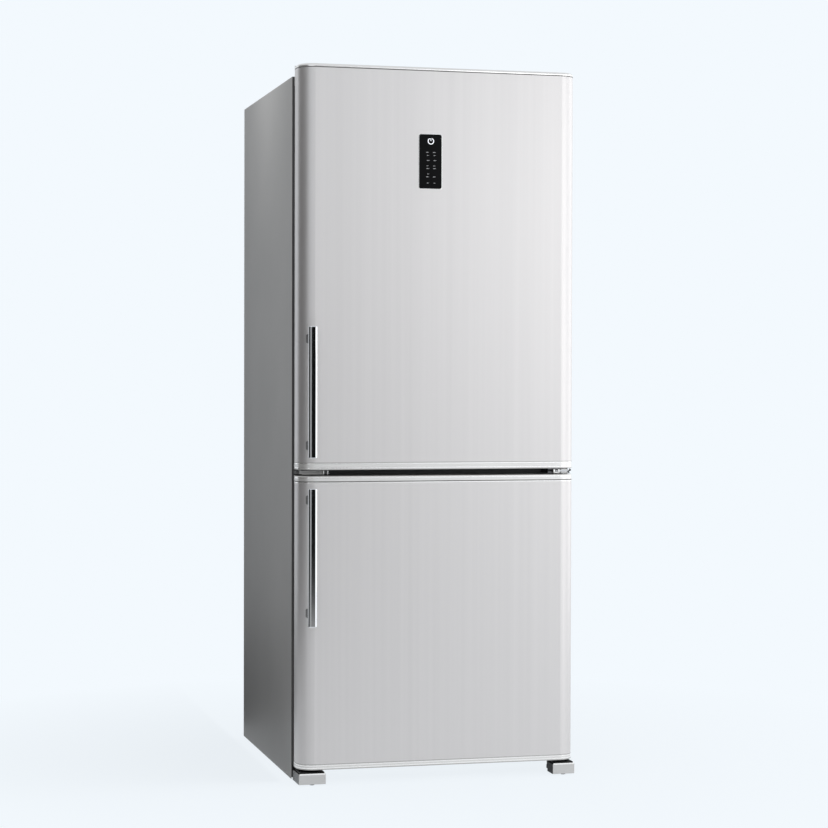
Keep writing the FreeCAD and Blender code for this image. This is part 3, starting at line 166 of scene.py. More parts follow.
FINISHES = finishes(
    silver_skin=((0.695, 0.67, 0.662), 0.02, (0.42, 0.5),
                 dict(stretch=BRUSHED, grain=700, depth=0.004, cloud=60, Metallic=0.75)),
    silver_cap=((0.78, 0.765, 0.75), 0.03, (0.36, 0.42),
                dict(grain=900, depth=0.006, Metallic=0.6)),
    side_paint=((0.335, 0.33, 0.325), 0.05, (0.5, 0.6),
                dict(grain=420, depth=0.03, cloud=3, Metallic=0.2, Specular_IOR_Level=0.25)),
    zinc_sheet=((0.56, 0.565, 0.57), 0.035, (0.42, 0.52),
                dict(grain=260, depth=0.01, cloud=14, Metallic=0.7)),
    black_steel=((0.012, 0.012, 0.013), 0.3, (0.4, 0.5), dict(grain=600)),
    hinge_steel=((0.6, 0.6, 0.61), 0.06, (0.25, 0.35), dict(depth=0.01, cloud=40, Metallic=1.0)),
    chrome=((0.76, 0.76, 0.77), 0.02, (0.03, 0.06),
            dict(stretch=BRUSHED, depth=0.0005, Metallic=1.0)),
    # handle_post is darker than the posts' metal: part real dark grey, part painted shade of the
    # door's rounding.
    handle_post=((0.22, 0.225, 0.23), 0.05, (0.2, 0.28), dict(depth=0.005, Metallic=0.7)),
    trim_silver=((0.62, 0.61, 0.60), 0.04, (0.3, 0.36),
                 dict(grain=800, depth=0.006, Metallic=0.55)),
    grey_plastic=((0.2, 0.205, 0.21), 0.08, (0.5, 0.62), dict(grain=1200, depth=0.05)),
    liner_white=((0.87, 0.875, 0.88), 0.015, (0.22, 0.32), dict(grain=250, depth=0.01, cloud=8)),
    foam=((0.74, 0.62, 0.36), 0.12, (0.8, 0.95), dict(grain=900, depth=0.3)),
    gasket=((0.30, 0.305, 0.31), 0.06, (0.55, 0.7), dict(grain=600)),
    display_black=((0.004, 0.004, 0.0045), 0.2, (0.12, 0.16),
                   dict(grain=200, depth=0, Specular_IOR_Level=0.06)),
    clear_plastic=((0.93, 0.96, 0.98), 0.015, (0.05, 0.1),
                   dict(grain=200, depth=0.004, Transmission_Weight=0.92, IOR=1.46)),
    shelf_glass=((0.86, 0.96, 0.93), 0.01, (0.02, 0.04),
                 dict(grain=150, depth=0, Transmission_Weight=1.0, IOR=1.5)),
    shelf_trim=((0.66, 0.67, 0.68), 0.03, (0.35, 0.42), dict(grain=700)),
    lamp_lens=((0.9, 0.9, 0.86), 0.02, (0.3, 0.4),
               dict(stretch=(1, 0.05, 1), grain=900, depth=0.2, Subsurface_Weight=0.3)),
    compressor_black=((0.014, 0.014, 0.015), 0.3, (0.25, 0.35),
                      dict(grain=500, depth=0.03, Coat_Weight=0.4)),
    copper=((0.55, 0.26, 0.14), 0.15, (0.22, 0.4), dict(grain=200, cloud=25, Metallic=1.0)),
    tray_plastic=((0.02, 0.02, 0.022), 0.2, (0.45, 0.6), dict(grain=900, depth=0.04)),
    aluminium=((0.75, 0.76, 0.77), 0.05, (0.28, 0.4),
               dict(stretch=SIDEWAYS, grain=400, depth=0.01, Metallic=1.0)),
    motor_plastic=((0.03, 0.03, 0.032), 0.2, (0.4, 0.5), dict(grain=900, depth=0.03)),
    board_green=((0.02, 0.12, 0.05), 0.2, (0.3, 0.4), dict(cloud=60)),
    foot_black=((0.018, 0.018, 0.019), 0.2, (0.5, 0.65), dict(grain=900, depth=0.05)),
    # These belong to pieces of the scene alone.
    # seam_dark and seam_soft: dark and mid-grey painted shade along the door seams.
    seam_dark=((0.12, 0.118, 0.115), 0.1, (0.5, 0.6), dict(grain=500)),
    seam_soft=((0.5, 0.49, 0.48), 0.04, (0.4, 0.5), dict(grain=500, Metallic=0.5)),
    # seam_light: near-white silver; its extra brightness is painted highlight on the door beads
    # and rims, the display rim, the foot covers' edges and the small hinge and clip parts in the
    # gap.
    seam_light=((0.97, 0.95, 0.93), 0.02, (0.2, 0.24),
                dict(grain=500, depth=0.002, Metallic=0.75)),
    # flange_dark: dark grey of painted shade, in the slit behind the doors and on the gap blank.
    flange_dark=((0.1, 0.1, 0.1), 0.1, (0.5, 0.6), dict(grain=600, Specular_IOR_Level=0.2)),
    blank_grey=((0.47, 0.47, 0.47), 0.08, (0.35, 0.45), dict(grain=900)),
    # The display marks glow by emission though they are no lamp: painted light.
    mark_white=((0.85, 0.86, 0.88), 0.02, (0.3, 0.4),
                dict(grain=200, depth=0, Emission_Color=(0.9, 0.92, 1, 1),
                     Emission_Strength=0.5)),
    mark_dim=((0.3, 0.3, 0.31), 0.2, (0.3, 0.4),
              dict(grain=900, depth=0, Emission_Color=(0.8, 0.85, 0.9, 1),
                   Emission_Strength=0.08)),
    # cross_dark: near-black, painted shade in the screw recesses and behind the middle hinge, and
    # plain black on the foot covers' lids.
    cross_dark=((0.012, 0.012, 0.012), 0.2, (0.5, 0.6), dict(Specular_IOR_Level=0.15)),
    bush_white=((0.55, 0.555, 0.56), 0.03, (0.35, 0.45), dict(grain=500)),
)

for name, node in NODES.items():
    node.data.materials.clear()
    node.data.materials.append(FINISHES[SLOTS[name]])


# Mesh helpers

MERGE_GAP = 0.002
SHARP_RADIUS = 0.01
CORNER_STEPS = 6
STRIP_ROUND, STRIP_END, STRIP_STEPS = 0.35, 0.6, 4


def added(name, data):
    """A new object in the scene."""
    item = bpy.data.objects.new(name, data)
    bpy.context.scene.collection.objects.link(item)
    return item


def piece(name, bm, finish_name, body, crease=35):
    """Turn a drawing in millimetres into a piece that rides on a body."""
    bmesh.ops.remove_doubles(bm, verts=bm.verts, dist=MERGE_GAP)
    bmesh.ops.recalc_face_normals(bm, faces=bm.faces)
    bmesh.ops.scale(bm, vec=(MM, MM, MM), verts=bm.verts)
    mesh = bpy.data.meshes.new(name)
    bm.to_mesh(mesh)
    bm.free()
    for face in mesh.polygons:
        face.use_smooth = True
    mesh.set_sharp_from_angle(angle=math.radians(crease))
    mesh.materials.append(FINISHES[finish_name])
    item = added(name, mesh)
    flats = item.modifiers.new("flats", "WEIGHTED_NORMAL")
    flats.keep_sharp = True
    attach(item, body)
    return item


def loft(bm, rings, caps=True):
    """Skin a row of closed rings that all have the same number of points."""
    rows = [[bm.verts.new(point) for point in ring] for ring in rings]
    count = len(rows[0])
    for first, second in zip(rows, rows[1:]):
        for index in range(count):
            after = (index + 1) % count
            bm.faces.new((first[index], first[after], second[after], second[index]))
    if caps:
        bm.faces.new(list(reversed(rows[0])))
        bm.faces.new(rows[-1])


def rounded_outline(x, y, radius, steps=CORNER_STEPS):
    """Corner-rounded rectangle as points, anticlockwise from the lower left."""
    corners = (
        (x[0] + radius, y[0] + radius, 180),
        (x[1] - radius, y[0] + radius, 270),
        (x[1] - radius, y[1] - radius, 0),
        (x[0] + radius, y[1] - radius, 90),
    )
    points = []
    for centre_x, centre_y, start in corners:
        for step in range(steps + 1):
            angle = math.radians(start + 90 * step / steps)
            points.append(
                (centre_x + radius * math.cos(angle), centre_y + radius * math.sin(angle))
            )
    return points


def slab(bm, low, high, round_by=0.0):
    """A block with rounded upright edges and chamfered flat ones."""
    x0, y0, z0 = low
    x1, y1, z1 = high
    rings = []
    for z, inset in ((z0, round_by), (z0 + round_by, 0), (z1 - round_by, 0), (z1, round_by)):
        ring = rounded_outline((x0 + inset, x1 - inset), (y0 + inset, y1 - inset),
                               max(round_by, SHARP_RADIUS), 2)
        rings.append([(x, y, z) for x, y in ring])
    if round_by == 0:
        rings = [rings[0], rings[-1]]
    loft(bm, rings)


def blocks(name, finish_name, body, slot, *rows):
    """A piece made of slabs; a row holds two corners and the rounding."""
    bm = bmesh.new()
    for low, high, round_by in rows:
        slab(bm, low, high, round_by)
    piece(name, bm, finish_name, body)


def strip(name, x, y, z, finish_name, body):
    """A long moulded strip along X whose section is a rounded rectangle."""
    bm = bmesh.new()
    radius = min(y[1] - y[0], z[1] - z[0]) * STRIP_ROUND
    end = radius * STRIP_END
    rings = []
    for along, inset in ((x[0], end), (x[0] + end, 0), (x[1] - end, 0), (x[1], end)):
        outline = rounded_outline((y[0] + inset, y[1] - inset), (z[0] + inset, z[1] - inset),
                                  max(radius - inset, 0.05), STRIP_STEPS)
        rings.append([(along, py, pz) for py, pz in outline])
    loft(bm, rings)
    piece(name, bm, finish_name, body)


def lathe(bm, profile, centre, axis="z", steps=32):
    """Turn a profile of (radius, distance along the axis) about an axis."""
    rings = []
    for radius, along in profile:
        ring = []
        for step in range(steps):
            angle = math.tau * step / steps
            u, v = radius * math.cos(angle), radius * math.sin(angle)
            offset = {"y": (v, along, u), "z": (u, v, along)}[axis]
            ring.append(tuple(c + o for c, o in zip(centre, offset)))
        rings.append(ring)
    loft(bm, rings)


def inset_frame(bm, x, across, profile, radius=0.0, flat=False):
    """Sweep a closed profile of (inset, level) round an upright or a flat rectangle."""
    rings = []
    for inset, level in profile + profile[:1]:
        outline = rounded_outline(
            (x[0] + inset, x[1] - inset), (across[0] + inset, across[1] - inset),
            max(radius - inset, 0.02), CORNER_STEPS if radius else 1,
        )
        rings.append([(u, v, level) if flat else (u, level, v) for u, v in outline])
    loft(bm, rings, caps=False)


def wire(name, points, radius, finish_name, body):
    """A round tube or wire that bends along points."""
    curve = bpy.data.curves.new(name, "CURVE")
    curve.dimensions = "3D"
    curve.bevel_depth = radius * MM
    curve.bevel_resolution = 4
    curve.use_fill_caps = True
    spline = curve.splines.new("NURBS")
    spline.points.add(len(points) - 1)
    for point, place in zip(spline.points, points):
        point.co = (*(c * MM for c in place), 1)
    spline.order_u = 3
    spline.use_endpoint_u = True
    spline.resolution_u = 8
    curve.materials.append(FINISHES[finish_name])
    item = added(name, curve)
    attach(item, body)


# Doors

HINGE_AXIS = joint_place("fridge_door_hinge") / MM
skin_low, skin_high = span("fridge_door_skin")
DOOR_LEFT, DOOR_RIGHT = skin_low.x, skin_high.x
DOOR_FRONT, DOOR_BACK = skin_low.y, skin_high.y
DOOR_RADIUS, DOOR_STEPS = 38, 10
SEAM_HEIGHT, BEAD_HEIGHT, RIM_DROP = 2.3, 2.8, 3.0
SEAM_PROUD, BEAD_PROUD, RIM_PROUD, SEAM_ROOT = 0.1, 0.3, 0.25, -0.4
HANDLE_RADIUS, HANDLE_END, HANDLE_STEPS = 6.4, 2.0, 4


def door_path():
    """Plan of a door's outside, from its left rear edge round the front, with normals."""
    path = [((DOOR_LEFT, DOOR_BACK), (-1, 0))]
    for centre_x, start in ((DOOR_LEFT + DOOR_RADIUS, 180), (DOOR_RIGHT - DOOR_RADIUS, 270)):
        for step in range(DOOR_STEPS + 1):
            angle = math.radians(start + 90 * step / DOOR_STEPS)
            out = (math.cos(angle), math.sin(angle))
            centre = (centre_x, DOOR_FRONT + DOOR_RADIUS)
            path.append((tuple(c + DOOR_RADIUS * o for c, o in zip(centre, out)), out))
    path.append(((DOOR_RIGHT, DOOR_BACK), (1, 0)))
    return path


def seam(name, z, proud, finish_name, body):
    """A thin moulded line round a door at one level."""
    bm = bmesh.new()
    profile = ((SEAM_ROOT, z[0]), (proud, z[0] + proud), (proud * 1.4, (z[0] + z[1]) / 2),
               (proud, z[1] - proud), (SEAM_ROOT, z[1]))
    rings = []
    for (x, y), (out_x, out_y) in door_path():
        rings.append([(x + out_x * far, y + out_y * far, level) for far, level in profile])
    loft(bm, rings)
    piece(name, bm, finish_name, body)


def door_seams():
    """Painted shadow line and bead where each cap meets the skin, and the bead along a cap's rim;
    the beads' brightness is painted highlight and the line under each bottom cap is painted shade.
    """
    for body, level, step, line in (
        ("fridge_door", "top", 1, "seam_dark"),
        ("fridge_door", "bottom", -1, "seam_soft"),
        ("freezer_door", "top", 1, "seam_dark"),
        ("freezer_door", "bottom", -1, "seam_soft"),
    ):
        skin = span(f"{body}_skin")
        cap = span(f"{body}_{level}_cap")
        edge = skin[1].z if step > 0 else skin[0].z
        outer = cap[1].z if step > 0 else cap[0].z
        inner = edge - SEAM_HEIGHT * step
        seam(f"{body}_{level}_seam", sorted((inner, edge)), SEAM_PROUD, line, body)
        if (body, level) == ("freezer_door", "top"):
            bead = sorted((inner, inner - BEAD_HEIGHT * step))
        else:
            bead = sorted((edge, edge + BEAD_HEIGHT * step))
        seam(f"{body}_{level}_bead", bead, BEAD_PROUD, "seam_light", body)
        if level == "bottom" or body == "freezer_door":
            rim = sorted((outer - RIM_DROP * step, outer - (RIM_DROP + BEAD_HEIGHT) * step))
            seam(f"{body}_{level}_rim", rim, RIM_PROUD, "seam_light", body)
        if level == "bottom":
            underside = (outer + 0.1, outer + SEAM_HEIGHT)
            seam(f"{body}_underside_line", underside, SEAM_PROUD, "seam_soft", body)


def handle(prefix):
    """The upright bar with rounded edges and slightly rounded ends."""
    low, high = span(f"{prefix}_handle")
    end = HANDLE_END
    levels = []
    for step in range(HANDLE_STEPS + 1):
        angle = math.radians(90 * step / HANDLE_STEPS)
        levels.append((end * (1 - math.sin(angle)), low.z + end * (1 - math.cos(angle))))
    levels += [(inset, low.z + high.z - z) for inset, z in reversed(levels)]
    rings = []
    for inset, z in levels:
        outline = rounded_outline((low.x + inset, high.x - inset),
                                  (low.y + inset, high.y - inset), HANDLE_RADIUS - inset, 8)
        rings.append([(x, y, z) for x, y in outline])
    bm = bmesh.new()
    loft(bm, rings)
    item = piece(f"{prefix}_handle_bar", bm, "chrome", f"{prefix}_door", crease=50)
    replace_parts(item, f"{prefix}_handle")


def gasket(body):
    """Door seal with its magnet pocket and folded bellows."""
    low, high = span(f"{body}_gasket")
    y0, y1 = low.y, high.y
    depth = y1 - y0
    profile = [
        (1.0, y0), (13.0, y0), (13.0, y0 + depth * 0.12), (9.0, y0 + depth * 0.22),
        (12.5, y0 + depth * 0.36), (9.5, y0 + depth * 0.5), (13.6, y0 + depth * 0.62),
        (13.6, y1 - 0.8), (12.8, y1), (1.2, y1), (0.4, y1 - 0.8), (0.4, y0 + depth * 0.62),
        (4.5, y0 + depth * 0.5), (1.5, y0 + depth * 0.36), (5.0, y0 + depth * 0.22),
        (1.0, y0 + depth * 0.12),
    ]
    bm = bmesh.new()
    inset_frame(bm, (low.x, high.x), (low.z, high.z), profile)
    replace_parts(piece(f"{body}_seal", bm, "gasket", body, crease=25), f"{body}_gasket")


# Display

MARKS_SHIFT, RING_PROUD, INDICATOR_PROUD = 0.9, 0.25, 0.18
RING_DROP, RING_OUTER, RING_INNER, RING_OPENING, RING_STEPS = 16.5, 7.9, 5.8, 50, 40
COLUMN_REACH, COLUMN_SWAY = 8.4, 0.8
INDICATOR_DROPS = (43.5, 51, 63, 76, 82.5, 95.5, 102.5, 117.5)
RIM_REACH, RIM_RADIUS = 1.3, 6.3


def display_ring(middle, face, ring_z):
    """Open ring with an upright bar in its gap, standing a little proud of the panel."""
    back, front = face - 0.02, face - RING_PROUD
    bm = bmesh.new()
    rings = []
    for step in range(RING_STEPS + 1):
        share = step / RING_STEPS
        angle = math.radians(90 + RING_OPENING / 2 + (360 - RING_OPENING) * share)
        u, v = math.cos(angle), math.sin(angle)
        rings.append([
            (middle + radius * u, y, ring_z + radius * v)
            for radius, y in ((RING_INNER, back), (RING_OUTER, back),
                              (RING_OUTER, front), (RING_INNER, front))
        ])
    loft(bm, rings)
    slab(bm, (middle - 0.9, front, ring_z + 0.5), (middle + 0.9, back, ring_z + 7), 0.08)
    piece("display_ring", bm, "mark_white", "fridge_door")


def display_marks():
    """Generic ring symbol, two columns of small indicators and the panel's rim; the symbol and
    indicators glow (painted light) and the rim's brightness is a painted highlight.
    """
    low, high = span("display_panel")
    middle = (low.x + high.x) / 2 + MARKS_SHIFT
    display_ring(middle, low.y, high.z - RING_DROP)
    back, front = low.y - 0.04, low.y - INDICATOR_PROUD
    rows = []
    for side, missing in ((-1, None), (1, 5)):
        for number, drop in enumerate(INDICATOR_DROPS):
            if number == missing:
                continue
            x = middle + side * COLUMN_REACH + (number % 3 - 1) * COLUMN_SWAY
            z = high.z - drop
            wide = 1.3 if number % 2 else 2.3
            rows += [((x - wide, front, z - 0.9), (x + wide, back, z + 0.9), 0.06),
                     ((x + wide + 0.8, front, z - 0.4), (x + wide + 2.2, back, z + 0.6), 0.06)]
    blocks("display_indicators", "mark_dim", "fridge_door", "display_black", *rows)
    bm = bmesh.new()
    root, lip, crown = DOOR_FRONT + 0.2, DOOR_FRONT - 0.4, DOOR_FRONT - 0.8
    inset_frame(bm, (low.x - RIM_REACH, high.x + RIM_REACH),
                (low.z - RIM_REACH, high.z + RIM_REACH),
                [(0, root), (0, lip), (0.7, crown), (1.35, crown), (1.35, root)],
                RIM_RADIUS)
    piece("display_rim", bm, "seam_light", "fridge_door")


# Drawers, bins and shelves

TUB_WALL, TUB_DRAFT, TUB_STEPS = 2.5, 2.0, 5
DRAWER_FRONT, NOTCH_DROP, NOTCH_RIM = 5, 14, 0.2
SHELVES = tuple(f"shelf_{level}" for level in LEVELS)
# How far a pull reaches out, how low it hangs, and the number of ribs below it.
CRISPER_PULL, FREEZER_PULL = (5, 21, 0), (6, 22, 3)
PULL_TOP, PULL_BACK = 14.5, 4.5
RIB_FIRST, RIB_PITCH, RIB_HEIGHT = 30, 9, 3


def tub(node, body, front=TUB_WALL, notch=None, radius=6.0):
    """Moulded open box with rounded corners, a drawn-in floor and a rolled rim.

    Its front wall has a thickness of its own; a notch is the stretch of X where it is lower.
    """
    low, high = span(node)

    def ring(inset, z, inner):
        """One closed ring round the box at an inset and a height."""
        x = (low.x + inset, high.x - inset)
        y = (low.y + inset + (front - TUB_WALL if inner else 0), high.y - inset)
        points = rounded_outline(x, y, max(radius - inset, 1.0), TUB_STEPS)
        front_y = points[TUB_STEPS][1]
        row = points[:TUB_STEPS + 1]
        if notch:
            row += [(px, front_y)
                    for px in (notch[0], notch[0] + 0.01, notch[1] - 0.01, notch[1])]
        row += points[TUB_STEPS + 1:]
        lowered = ()
        if notch and z > high.z - NOTCH_DROP:
            lowered = (TUB_STEPS + 2, TUB_STEPS + 3)
        sunk = high.z - NOTCH_DROP - (high.z - z) * NOTCH_RIM
        return [(px, py, sunk if index in lowered else z)
                for index, (px, py) in enumerate(row)]

    wall, draft = TUB_WALL, TUB_DRAFT
    outside = [
        (draft + 3.0, low.z), (draft + 0.8, low.z + 1.0), (draft, low.z + 3.0),
        (0.4, high.z - 8), (0.0, high.z - 6.5), (0.0, high.z - 0.6), (0.5, high.z),
    ]
    inside = [
        (wall - 0.5, high.z), (wall, high.z - 0.6), (wall + 0.2, high.z - 8),
        (wall + draft, low.z + wall + 4), (wall + draft + 1.2, low.z + wall + 1.2),
        (wall + draft + 4, low.z + wall),
    ]
    bm = bmesh.new()
    loft(bm, [ring(*place, False) for place in outside] + [ring(*place, True) for place in inside])
    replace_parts(piece(f"{node}_tub", bm, "clear_plastic", body, crease=40), node)


def door_bins():
    """Bins of the upper door, with a broad trim and a bright line along the inner side."""
    for level in LEVELS:
        node = f"door_bin_{level}"
        low, high = span(node)
        tub(node, "fridge_door", radius=8)
        strip(f"{node}_trim", (low.x + 10, high.x - 10), (high.y - 0.2, high.y + 1.6),
              (high.z - 22, high.z - 8), "shelf_trim", "fridge_door")
        strip(f"{node}_line", (low.x + 14, high.x - 14), (high.y + 1.4, high.y + 2.1),
              (high.z - 16.5, high.z - 13.5), "chrome", "fridge_door")


def drawers():
    """Crispers and freezer drawers, each with a pull under the lower middle of its front."""
    rows = [(f"crisper_{side}", *CRISPER_PULL) for side in ("left", "right")]
    rows += [(f"freezer_drawer_{level}", *FREEZER_PULL) for level in LEVELS]
    for node, reach, drop, ribs in rows:
        low, high = span(node)
        quarter = (high.x - low.x) / 4
        notch = (low.x + quarter, high.x - quarter)
        tub(node, node, DRAWER_FRONT, notch)
        strip(f"{node}_pull", notch, (low.y - reach, low.y + PULL_BACK),
              (high.z - drop, high.z - PULL_TOP), "shelf_trim", node)
        for row in range(ribs):
            z = low.z + RIB_FIRST + row * RIB_PITCH
            strip(f"{node}_rib_{row}", (low.x + 40, high.x - 40), (low.y - 0.6, low.y + 2.5),
                  (z, z + RIB_HEIGHT), "clear_plastic", node)


def shelf_trims():
    """Trim with a bright line along the front of each glass shelf."""
    front = span("shelf_frames")[0].y
    for node in ("crisper_cover", *SHELVES):
        low, high = span(node)
        middle = (low.z + high.z) / 2
        strip(f"{node}_trim", (low.x + 1, high.x - 1), (front - 1.4, front + 0.4),
              (middle - 5.5, middle + 5.5), "shelf_trim", "cabinet")
        strip(f"{node}_line", (low.x + 6, high.x - 6), (front - 2.0, front - 1.1),
              (middle - 1.6, middle + 1.6), "chrome", "cabinet")


# Inner side of the doors and lining of the compartments

LINER_SHEET = 2
BIN_TO_RING, RING_WIDTH, RING_END_GAP, RING_FOOT = 19, 17, 14, 26
RING_HALF = span("door_bin_lower")[1].x + BIN_TO_RING
LEDGE_WIDTH, LEDGE_DEPTH, LEDGE_THICK = 10, 38, 6
PANEL_FOOT, PANEL_RADIUS = 22, 26
RECESS_SIDE, RECESS_DEPTH = 9.5, 28
OUTLET_RISE, OUTLET_HALF = 25, 32
GRILLE_PROUD, GRILLE_RINGS, GRILLE_RING_WIDTH, GRILLE_STEPS = 5.5, (14, 26, 38), 2, 48
SPOKES, SPOKE_START, SPOKE_WIDTH, SPOKE_THICK = 6, 15, 2.2, 1.6


def liner_plate(bm, body, recess=None):
    """Flat sheet of a door's liner, with the corner left out that the hinge arm turns in."""
    low, high = span(f"{body}_liner")
    back = low.y + LINER_SHEET
    corners = [(low.x, low.z), (high.x, low.z)]
    if recess:
        x, z = recess
        corners += [(high.x, z), (x, z), (x, high.z)]
    else:
        corners.append((high.x, high.z))
    corners.append((low.x, high.z))
    loft(bm, [[(x, y, z) for x, z in corners] for y in (low.y, back)])
    return back, high.y


def fridge_door_face():
    """Moulded inner face of the upper door: the ring that holds the bins, and its ledges."""
    roof = span("cabin_lamp")[1].z
    door_top = span("fridge_door_top_cap")[1].z
    bm = bmesh.new()
    recess = (HINGE_AXIS.x - RECESS_SIDE, door_top - RECESS_DEPTH)
    back, top = liner_plate(bm, "fridge_door", recess)
    ring = [(-1, back - 1), (0, back + 2.5), (1, top - 5), (2.4, top - 1.6), (5, top), (12, top),
            (14.6, top - 1.6), (16, top - 5), (RING_WIDTH, back + 2.5), (18, back - 1)]
    inset_frame(bm, (-RING_HALF, RING_HALF),
                (span("door_bin_lower")[0].z - RING_FOOT, roof - RING_END_GAP), ring, 16)
    inner = RING_HALF - RING_WIDTH
    for level in LEVELS:
        ledge = span(f"door_bin_{level}")[0].z - 0.3
        for x0, x1 in ((-inner, LEDGE_WIDTH - inner), (inner - LEDGE_WIDTH, inner)):
            slab(bm, (x0, back, ledge - LEDGE_THICK), (x1, back + LEDGE_DEPTH, ledge), 1.2)
    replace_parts(piece("fridge_door_inner_face", bm, "liner_white", "fridge_door"),
                "fridge_door_liner")


def freezer_door_face():
    """Moulded inner face of the lower door with its raised panel."""
    mouth = span("freezer_liner")[0].z
    roof = span("freezer_back_panel")[1].z
    bm = bmesh.new()
    back, top = liner_plate(bm, "freezer_door")
    rings = []
    for inset, y in ((-1.2, back - 1), (0, back + 2.5), (2.4, top - 4), (3.6, top - 1.3),
                     (6.5, top), (52, top), (54.5, top - 1.6), (57, top - 1.9)):
        outline = rounded_outline(
            (inset - RING_HALF, RING_HALF - inset),
            (mouth + PANEL_FOOT + inset, roof - RING_END_GAP - inset),
            max(PANEL_RADIUS - inset, 8))
        rings.append([(x, y, z) for x, z in outline])
    loft(bm, rings)
    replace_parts(piece("freezer_door_inner_face", bm, "liner_white", "freezer_door"),
                "freezer_door_liner")


def duct_details():
    """Frames round the outlets of the air duct and two beads down its middle."""
    low, high = span("air_duct")
    quarter = (high.x - low.x) / 4
    root, lip, crown = low.y + 0.2, low.y - 0.7, low.y - 1.1
    bm = bmesh.new()
    for node in SHELVES:
        outlet = span(node)[0].z + OUTLET_RISE
        for x in (-quarter, quarter):
            inset_frame(bm, (x - OUTLET_HALF, x + OUTLET_HALF), (outlet - 2, outlet + 10),
                        [(0, root), (0, lip), (0.9, crown), (1.9, lip), (1.9, root)], 2)
    for x in (-10, 10):
        slab(bm, (x - 2, low.y - 1, low.z + 24), (x + 2, root, high.z - 24), 0.8)
    piece("air_duct_trims", bm, "liner_white", "cabinet")


def lamp_details():
    """Bezel round the lamp under the roof."""
    low, high = span("cabin_lamp")
    bm = bmesh.new()
    inset_frame(bm, (low.x, high.x), (low.y, high.y),
                [(0.3, high.z - 0.1), (-4, high.z - 0.1), (-4, high.z - 2), (-3, high.z - 3.2),
                 (0.3, high.z - 3.6)], 6, flat=True)
    piece("cabin_lamp_bezel", bm, "shelf_trim", "cabinet")


def bar(bm, first, last, width, thick):
    """A straight flat bar between two points of a plane that faces the front."""
    (x0, y, z0), (x1, _, z1) = first, last
    length = math.hypot(x1 - x0, z1 - z0)
    u, v = (z0 - z1) / length * width / 2, (x1 - x0) / length * width / 2
    loft(bm, [[(x + u, y, z + v), (x - u, y, z - v), (x - u, y + thick, z - v),
               (x + u, y + thick, z + v)] for x, z in ((x0, z0), (x1, z1))])


def fan_grille():
    """Guard over the fan's opening: a shroud, rings and spokes."""
    axis_z = joint_place("fan_spin").z / MM
    fan_low, fan_high = span("fan_blades")
    radius = (fan_high.z - fan_low.z) / 2
    front = fan_low.y - GRILLE_PROUD
    seat = span("freezer_back_panel")[0].y
    centre = (0, 0, axis_z)
    bm = bmesh.new()
    lathe(bm, [(radius + 13, seat), (radius + 13, seat - 2.5), (radius + 9.5, front + 3),
               (radius + 6, front), (radius + 2, front), (radius + 2, front + 2),
               (radius + 5, front + 2), (radius + 7.6, front + 4), (radius + 10.8, seat - 2.5),
               (radius + 10.8, seat), (radius + 13, seat)], centre, "y", GRILLE_STEPS)
    for inner in GRILLE_RINGS:
        outer, rear = inner + GRILLE_RING_WIDTH, front + GRILLE_RING_WIDTH
        lathe(bm, [(inner, front), (outer, front), (outer, rear), (inner, rear),
                   (inner, front)], centre, "y", GRILLE_STEPS)
    for number in range(SPOKES):
        angle = math.tau * (number + 0.5) / SPOKES
        u, v = math.cos(angle), math.sin(angle)
        bar(bm, (SPOKE_START * u, front + 0.2, axis_z + SPOKE_START * v),
            ((radius + 3) * u, front + 0.2, axis_z + (radius + 3) * v),
            SPOKE_WIDTH, SPOKE_THICK)
    piece("fan_grille", bm, "liner_white", "cabinet")


# Rail between the doors and the cabinet's front edge

BAND_WIDTH, BAND_SHEET, BAND_FOOT = 10, 0.6, 34
RAIL_GAP = 12
SPRING_STEPS, SPRING_SWAY, SPRING_HALF, SPRING_WIRE = 12, 3.15, 4.6, 1.5


def flange_trim():
    """Dark edge band on the front flange of the cabinet, seen in the slit behind the doors; its
    darkness is painted shade in the slit.
    """
    low, high = span("cabinet_shell")
    front, back = low.y - BAND_SHEET, low.y + 0.1
    foot, top = low.z + BAND_FOOT, high.z - 0.1
    left, right = low.x + BAND_WIDTH, high.x - BAND_WIDTH
    blocks("cabinet_edge_band", "flange_dark", "cabinet", "side_paint",
           ((low.x + 0.1, front, foot), (left, back, top), 0.2),
           ((right, front, foot), (high.x - 0.1, back, top), 0.2),
           ((left - 1, front, high.z - BAND_WIDTH), (right + 1, back, top), 0.2))


def gap_blank(low, high, middle):
    """Grey blank at the left end of the gap, dark pieces of painted shade along its top and over
    its left end, and the clip beside it.
    """
    front = low.y
    rings = []
    for z, inset in ((low.z + 1.8, 1.4), (low.z + 2.8, 0.4), (low.z + 4, 0.4),
                     (low.z + 4.1, 1.5), (high.z - 1.2, 1.5), (high.z, 2.4)):
        outline = rounded_outline((low.x + 6, high.x - 0.3), (front + inset, high.y), 5 - inset)
        rings.append([(x, y, z) for x, y in outline])
    bm = bmesh.new()
    loft(bm, rings)
    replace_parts(piece("gap_cover_blank", bm, "blank_grey", "cabinet"),
                "gap_cover")
    # Painted shade: a dark line along the blank's top and a dark shell over its rounded left end.
    blocks("gap_cover_plug", "flange_dark", "cabinet", "grey_plastic",
           ((low.x + 12, front + 1, middle + 4.3), (high.x - 0.4, front + 3, middle + 5.4), 0.3),
           ((low.x + 0.1, front + 1.2, low.z + 1), (low.x + 9, high.y, high.z - 0.4), 2))
    blocks("gap_cover_step", "trim_silver", "cabinet", None,
           ((low.x + 14, front - 0.2, middle - 4.6), (high.x - 2.5, front + 1, middle - 2.2),
            0.4))
    blocks("gap_clip_body", "grey_plastic", "cabinet", None,
           ((high.x + 1.5, front + 4, middle - 3.8), (high.x + 9, high.y, middle + 3.8), 0.5))
    # The clip's flanges are in highlight silver: painted highlight on their edges.
    blocks("gap_clip_flanges", "seam_light", "cabinet", "trim_silver",
           *(((x, front - 0.6, middle - 4.8), (x + 1.9, high.y - 1, middle + 4.8), 0.4)
             for x in (high.x - 1.6, high.x + 8.8)))


